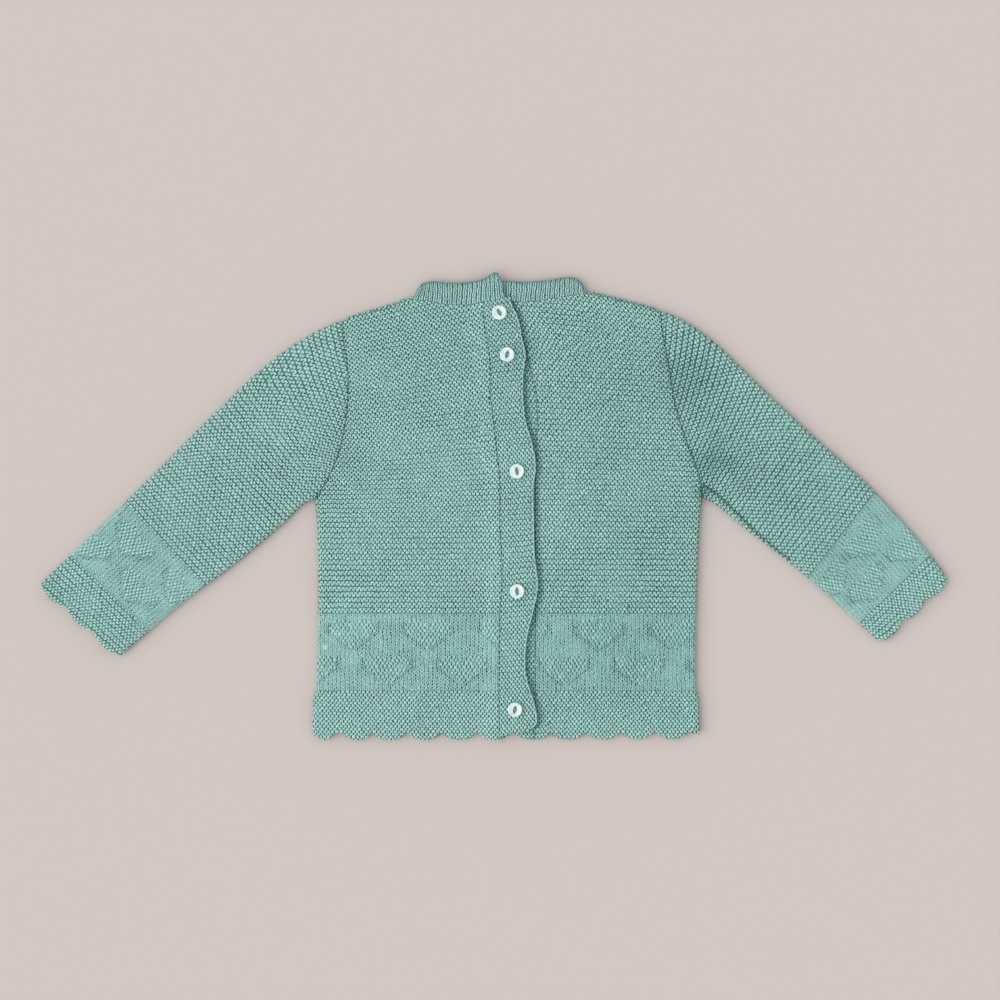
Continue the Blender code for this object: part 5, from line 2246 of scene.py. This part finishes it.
@dataclass
class Buttons:
    """Five pearly buttons with an almond-shaped hollow round two holes, and their thread."""

    sides: int = 64
    insets: tuple = ((0.75, 0.0), (0.55, -0.22), (1.3, -0.06))
    bevel: float = 0.7
    bevel_steps: int = 5
    smooth_angle: float = 32.0
    eye_length: float = 6.3
    eye_width: float = 2.8
    eye_height: float = 2.6
    eye_level: float = 0.97
    eye_taper: float = 0.45
    # Reach and depth over which the hollow takes painted shade
    hollow_size: float = 0.28
    hollow_depth: float = 0.4
    hollow_floor: float = 0.2
    thread: float = 0.42
    thread_shifts: tuple = (-0.3, 0.0, 0.3)
    thread_lean: float = 0.18
    thread_sunk: float = 2.2

    def blank(self) -> Object:
        """Model one button lying at the origin.

        Returns:
            The button.
        """
        deselect()
        radius = BUTTON_DIAMETER / 2 * MM
        thick = BUTTON_THICKNESS * MM
        bpy.ops.mesh.primitive_cylinder_add(
            vertices=self.sides, radius=radius, depth=thick, location=(0.0, 0.0, thick / 2)
        )
        button = bpy.context.active_object
        bpy.ops.object.mode_set(mode="EDIT")
        mesh = bmesh.from_edit_mesh(button.data)
        bpy.ops.mesh.select_all(action="DESELECT")
        mesh.faces.ensure_lookup_table()
        for face in mesh.faces:
            face.select = face.normal.z > 0.9
        bmesh.update_edit_mesh(button.data)
        for width, rise in self.insets:
            bpy.ops.mesh.inset(thickness=width * MM, depth=rise * MM)
        bpy.ops.mesh.select_all(action="DESELECT")
        mesh = bmesh.from_edit_mesh(button.data)
        for edge in mesh.edges:
            ends = [vertex.co for vertex in edge.verts]
            outer = all(co.xy.length > radius * 0.97 for co in ends)
            flat = abs(ends[0].z - ends[1].z) < 1e-6
            edge.select = outer and flat
        bmesh.update_edit_mesh(button.data)
        bpy.ops.mesh.bevel(offset=self.bevel * MM, segments=self.bevel_steps, affect="EDGES")
        bpy.ops.object.mode_set(mode="OBJECT")
        return button

    def eye(self) -> Object:
        """Tool for the almond-shaped hollow.

        Returns:
            The tool.
        """
        level = BUTTON_THICKNESS * MM * self.eye_level
        bpy.ops.mesh.primitive_uv_sphere_add(
            segments=40, ring_count=20, radius=0.5 * MM, location=(0.0, 0.0, level)
        )
        bpy.context.active_object.scale = (self.eye_width, self.eye_length, self.eye_height)
        eye = settle_place()
        half = self.eye_length / 2 * MM
        for vertex in eye.data.vertices:
            share = min(abs(vertex.co.y) / half, 1.0)
            vertex.co.x *= 1 - self.eye_taper * share * share
        return eye

    def cutters(self) -> list[Object]:
        """Tools for the hollow and the two holes.

        Returns:
            The tools.
        """
        tools = [self.eye()]
        top = BUTTON_THICKNESS * MM
        for side in (-1, 1):
            bpy.ops.mesh.primitive_cylinder_add(
                vertices=24, radius=HOLE_DIAMETER / 2 * MM, depth=3 * top,
                location=(0.0, side * HOLE_SPACING / 2 * MM, top / 2),
            )
            tools.append(settle_place())
        return tools

    def model(self) -> Object:
        """One finished button, its hollow and holes cut and its edges softened.

        Returns:
            The button.
        """
        self.blank()
        button = settle_place()
        tools = self.cutters()
        for tool in tools:
            cut = button.modifiers.new("cut", "BOOLEAN")
            cut.operation = "DIFFERENCE"
            cut.solver = "EXACT"
            cut.object = tool
        deselect()
        button.select_set(True)
        settle_modifiers(button)
        for tool in tools:
            bpy.data.objects.remove(tool, do_unlink=True)
        bpy.ops.object.shade_smooth_by_angle(angle=math.radians(self.smooth_angle))
        self.mark_hollow(button.data)
        return button

    def mark_hollow(self, mesh: Mesh) -> None:
        """Give the points in the hollow a number by which the finish paints shade into them.

        Args:
            mesh: The button's mesh, at the origin.
        """
        spots = np.empty(3 * len(mesh.vertices))
        mesh.vertices.foreach_get("co", spots)
        x, y, z = spots.reshape(-1, 3).T / MM
        within = (x / self.eye_width) ** 2 + (y / self.eye_length) ** 2 < self.hollow_size
        face = z[within & (z < BUTTON_THICKNESS)].max()
        depth = np.clip((face - z) / self.hollow_depth, 0.0, 1.0) * within * (z > self.hollow_floor)
        layer = mesh.attributes.new("hollow", "FLOAT", "POINT")
        layer.data.foreach_set("value", depth.astype(np.float32))

    def threads(self) -> Object:
        """Loops of thread from hole to hole, modelled at the origin.

        Returns:
            The joined loops.
        """
        deselect()
        strands = []
        for shift in self.thread_shifts:
            bpy.ops.mesh.primitive_torus_add(
                major_segments=28, minor_segments=8,
                major_radius=HOLE_SPACING / 2 * MM, minor_radius=self.thread / 2 * MM,
                location=(shift * MM, 0.0, (BUTTON_THICKNESS - self.thread_sunk) * MM),
                rotation=(0.0, math.pi / 2, 0.0),
            )
            bpy.context.active_object.scale = (1.0 + self.thread_lean * shift, 1.0, 1.0)
            strands.append(settle_place())
        for strand in strands:
            strand.select_set(True)
        bpy.context.view_layer.objects.active = strands[0]
        bpy.ops.object.join()
        bpy.ops.object.shade_smooth()
        return bpy.context.active_object

    def build(self, pearl: Material, thread: Material) -> None:
        """Place the buttons and their threads.

        Args:
            pearl: Finish of the buttons.
            thread: Finish of the thread.
        """
        button = self.model()
        strand = self.threads()
        for number, (x, y, turn) in enumerate(BUTTONS, start=1):
            place = Matrix.Translation((x * MM, y * MM, BUTTON_BASE * MM))
            place = place @ Matrix.Rotation(math.radians(turn), 4, "Z")
            for source, name, material, slot in (
                (button, f"button_{number}_pearl", pearl, "pearl_button"),
                (strand, f"button_{number}_thread", thread, "mint_knit"),
            ):
                mesh = source.data.copy()
                mesh.transform(place)
                piece = placed(name, mesh, material)
                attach(piece, "root")
                if source is button:
                    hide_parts(f"button_{number}")
                LOG.info("%s: %d faces", name, len(mesh.polygons))
        for source in (button, strand):
            bpy.data.objects.remove(source, do_unlink=True)


# ---- the garment


def left_back() -> LeftBack:
    """Back half on the left of the picture.

    Returns:
        The panel.
    """
    neck = offset(smooth(NECK_LEFT), -SEWN_GAP)
    heights = np.linspace(HEM_NOTCH_HEIGHT - 2.0, neck[-1][1], SEAM_POINTS)
    seam = section_line(BUTTONHOLE_BAND, 1, heights)
    seam[:, 0] -= SEWN_GAP
    start = BODY_LEFT_EDGE[0][0]
    hem = hem_line(start, seam[0, 0], HEM_LEFT_NOTCH, HEM_LEFT_PITCH, HEM_FIRST_GAP)
    seam[0], seam[-1] = hem[-1], neck[-1]
    shoulder = smooth(SHOULDER_LEFT)
    side = smooth(np.vstack((hem[:1], BODY_LEFT_EDGE[1 : ARMPIT_ROW + 1])))
    armhole = smooth(BODY_LEFT_EDGE[ARMPIT_ROW:])
    return LeftBack(
        name="back_left",
        borders=[
            (hem, Kind.FREE),
            (seam, Kind.JOIN),
            (np.vstack((neck[::-1], shoulder[-1:])), Kind.NECK),
            (shoulder[::-1], Kind.SEAM),
            (armhole[::-1], Kind.SEAM),
            (side[::-1], Kind.FOLD),
        ],
        knitting=Knitting(LEFT_BACK_ROWS, BODY_PLAIN, HEARTS_LEFT_BACK),
        level=LAYER_STEP,
        rests_on=("front_knit",),
    )


def right_back() -> ShadedPanel:
    """Back half on the right of the picture.

    Returns:
        The panel.
    """
    neck = offset(smooth(NECK_RIGHT), -SEWN_GAP)
    heights = np.linspace(HEM_NOTCH_HEIGHT - 1.0, neck[0][1], SEAM_POINTS)
    seam = section_line(BUTTON_BAND_SEAM, 1, heights)
    seam[:, 0] += SEWN_GAP
    hem = hem_line(seam[0, 0], BODY_RIGHT_EDGE[0][0], HEM_RIGHT_NOTCH, HEM_RIGHT_PITCH)
    seam[0], seam[-1] = hem[0], neck[0]
    shoulder = smooth(SHOULDER_RIGHT)
    side = smooth(np.vstack((hem[-1:], BODY_RIGHT_EDGE[1 : ARMPIT_ROW + 1])))
    armhole = smooth(BODY_RIGHT_EDGE[ARMPIT_ROW:])
    return ShadedPanel(
        name="back_right",
        borders=[
            (hem, Kind.FREE),
            (side, Kind.FOLD),
            (armhole, Kind.SEAM),
            (shoulder[::-1], Kind.SEAM),
            (np.vstack((shoulder[:1], neck[::-1])), Kind.NECK),
            (seam[::-1], Kind.JOIN),
        ],
        knitting=Knitting(RIGHT_BACK_ROWS, BODY_PLAIN, HEARTS_RIGHT_BACK),
        level=LAYER_STEP,
        rests_on=("front_knit",),
    )


def front() -> FrontPanel:
    """Whole front, the bottom layer.

    Returns:
        The panel.
    """
    start, end = BODY_LEFT_EDGE[0][0], BODY_RIGHT_EDGE[0][0]
    hem = hem_line(start, end, HEM_LEFT_NOTCH, HEM_FRONT_PITCH, HEM_FIRST_GAP)
    neck = offset(smooth(FRONT_NECK), -SEAM_GAP)
    left_shoulder, right_shoulder = smooth(SHOULDER_LEFT), smooth(SHOULDER_RIGHT)
    for shoulder in (left_shoulder, right_shoulder):
        shoulder[4:-4, 1] += FRONT_SHOULDER_PEEP
    left_edge = smooth(np.vstack((hem[:1], BODY_LEFT_EDGE[1:])))
    right_edge = smooth(np.vstack((hem[-1:], BODY_RIGHT_EDGE[1:])))
    neck = np.vstack((left_shoulder[-1:], neck, right_shoulder[:1]))
    return FrontPanel(
        name="front",
        borders=[
            (hem, Kind.FREE),
            (right_edge, Kind.FOLD),
            (right_shoulder[::-1], Kind.SEAM),
            (neck[::-1], Kind.SEAM),
            (left_shoulder[::-1], Kind.SEAM),
            (left_edge[::-1], Kind.FOLD),
        ],
        knitting=Knitting(FRONT_ROWS, BODY_PLAIN, HEARTS_FRONT),
        level=0.0,
        per_wale=3,
        per_course=2,
        edge_rows=(0.6, 1.4),
        face_down=True,
        hidden_painted_shade=-0.05,
    )


def buttonhole_band() -> BandPanel:
    """Upper band, sewn to the left back half.

    Returns:
        The band.
    """
    neckline = offset(smooth((NECK_LEFT[-1], *NECK_LEFT_OPENING)), -SEWN_GAP)
    heights = np.linspace(BUTTONHOLE_BAND[-1][0], BUTTONHOLE_BAND[0][0], BAND_POINTS)
    seam, edge = (section_line(BUTTONHOLE_BAND, column, heights) for column in (1, 2))
    hem = np.array(BAND_HEM)
    seam[0] = hem[0]
    seam[-1] = (seam[-1, 0], neckline[0, 1])
    top = topped(np.linspace(seam[-1, 0], edge[-1, 0], 40), neckline)
    edge[-1] = top[-1]
    return BandPanel(
        name="buttonhole_band",
        borders=[
            (np.vstack((hem[:3], edge[:1])), Kind.FREE),
            (edge, Kind.FREE),
            (top[::-1], Kind.NECK),
            (seam[::-1], Kind.JOIN),
        ],
        knitting=Knitting(BUTTONHOLE_BAND_ROWS),
        level=2 * LAYER_STEP,
        rests_on=("button_band_knit",),
        edge_rows=(0.35, 0.75, 1.2, 1.65),
    )


def button_band() -> ShadedPanel:
    """Lower band, sewn to the right back half, under the first.

    Returns:
        The band.
    """
    neckline = offset(smooth((*NECK_RIGHT_HIDDEN, NECK_RIGHT[0])), -SEWN_GAP)
    heights = np.linspace(BUTTON_BAND_SEAM[-1][0], BUTTON_BAND_SEAM[0][0], BAND_POINTS)
    hidden = section_line(BUTTONHOLE_BAND, 1, heights)
    hidden[:, 0] += BUTTON_BAND_OVERHANG
    seam = section_line(BUTTON_BAND_SEAM, 1, heights)
    seam[-1] = topped(seam[-1:, 0], neckline)[0]
    top = topped(np.linspace(hidden[-1, 0], seam[-1, 0], 30), neckline)
    hidden[-1] = top[0]
    return ShadedPanel(
        name="button_band",
        borders=[
            (np.vstack((hidden[:1], seam[:1])), Kind.FREE),
            (seam, Kind.JOIN),
            (top[::-1], Kind.NECK),
            (hidden[::-1], Kind.FREE),
        ],
        knitting=Knitting(BUTTON_BAND_ROWS),
        level=LAYER_STEP,
        per_wale=3,
        per_course=2,
        rests_on=("front_knit",),
    )


def sleeves() -> tuple[Sleeve, Sleeve]:
    """Both sleeves.

    Returns:
        The left and the right sleeve.
    """
    left = Sleeve(
        name="sleeve_left", top=SLEEVE_LEFT_TOP, under=SLEEVE_LEFT_UNDER,
        armhole=BODY_LEFT_EDGE[ARMPIT_ROW:][::-1], side=1,
        knitting=Knitting(
            LEFT_SLEEVE_ROWS, LEFT_SLEEVE_PLAIN, HEARTS_LEFT_SLEEVE, furrow=0.75, slit=0.42,
            borders=(0.4, 0.2),
        ),
        curl=1.4,
    )
    right = Sleeve(
        name="sleeve_right", top=SLEEVE_RIGHT_TOP, under=SLEEVE_RIGHT_UNDER,
        armhole=BODY_RIGHT_EDGE[ARMPIT_ROW:][::-1], side=-1,
        knitting=Knitting(
            RIGHT_SLEEVE_ROWS, RIGHT_SLEEVE_PLAIN, HEARTS_RIGHT_SLEEVE, furrow=0.75, slit=0.38,
            borders=(0.2, 0.5),
        ),
        seam=RIGHT_SLEEVE_SEAM,
    )
    return left, right


# ---- stage


@dataclass
class Stage:
    """Floor, light and camera, as in the picture."""

    floor_half: float = 3.0
    floor_drop: float = 0.0003
    sun_energy: float = 1.5
    sun_degrees: float = 70.0
    sun_colour: tuple = (1.0, 0.985, 0.965)
    sun_way: tuple = (0.80, 0.12, -0.72)
    sky_colour: tuple = (0.97, 0.985, 1.0)
    sky_strength: float = 0.715

    def build(self) -> None:
        """Make the floor, the light and the camera."""
        deselect()
        bpy.ops.mesh.primitive_plane_add(
            size=2 * self.floor_half, location=(0.0, 0.0, -self.floor_drop)
        )
        floor = bpy.context.active_object
        floor.name = "floor"
        floor.data.materials.append(FloorFinish().build())
        self.light()
        self.camera()

    def light(self) -> None:
        """Soft key light from the left, and an even surround."""
        sun = bpy.data.lights.new("key", "SUN")
        sun.energy = self.sun_energy
        sun.angle = math.radians(self.sun_degrees)
        sun.color = self.sun_colour
        key = bpy.data.objects.new("key", sun)
        key.rotation_euler = Vector(self.sun_way).to_track_quat("-Z", "Y").to_euler()
        bpy.context.scene.collection.objects.link(key)
        world = bpy.data.worlds.new("surround")
        world.use_nodes = True
        background = world.node_tree.nodes["Background"]
        background.inputs["Color"].default_value = (*self.sky_colour, 1.0)
        background.inputs["Strength"].default_value = self.sky_strength
        bpy.context.scene.world = world

    def camera(self) -> None:
        """Camera straight above, framed as the picture."""
        data = bpy.data.cameras.new("camera")
        data.lens = LENS
        data.sensor_width = SENSOR
        away = PICTURE_PIXELS * PIXEL_SIZE * MM * LENS / SENSOR
        camera = bpy.data.objects.new("camera", data)
        camera.location = (CENTRE_X * MM, CENTRE_Y * MM, FOCUS_HEIGHT * MM + away)
        bpy.context.scene.collection.objects.link(camera)
        bpy.context.scene.camera = camera
        bpy.context.scene.view_settings.view_transform = "Standard"


def main() -> None:
    """Build and dress every piece, then the stage."""
    logging.basicConfig(level=logging.INFO, format="%(name)s: %(message)s")
    deselect()
    knit = KnitFinish().build()
    for panel in (front(), left_back(), right_back(), button_band(), buttonhole_band()):
        panel.build(knit)
    for sleeve in sleeves():
        sleeve.build(knit)
    Collar().build(knit)
    Buttons().build(PearlFinish().build(), ThreadFinish().build())
    Stage().build()


if __name__ == "__main__":
    main()
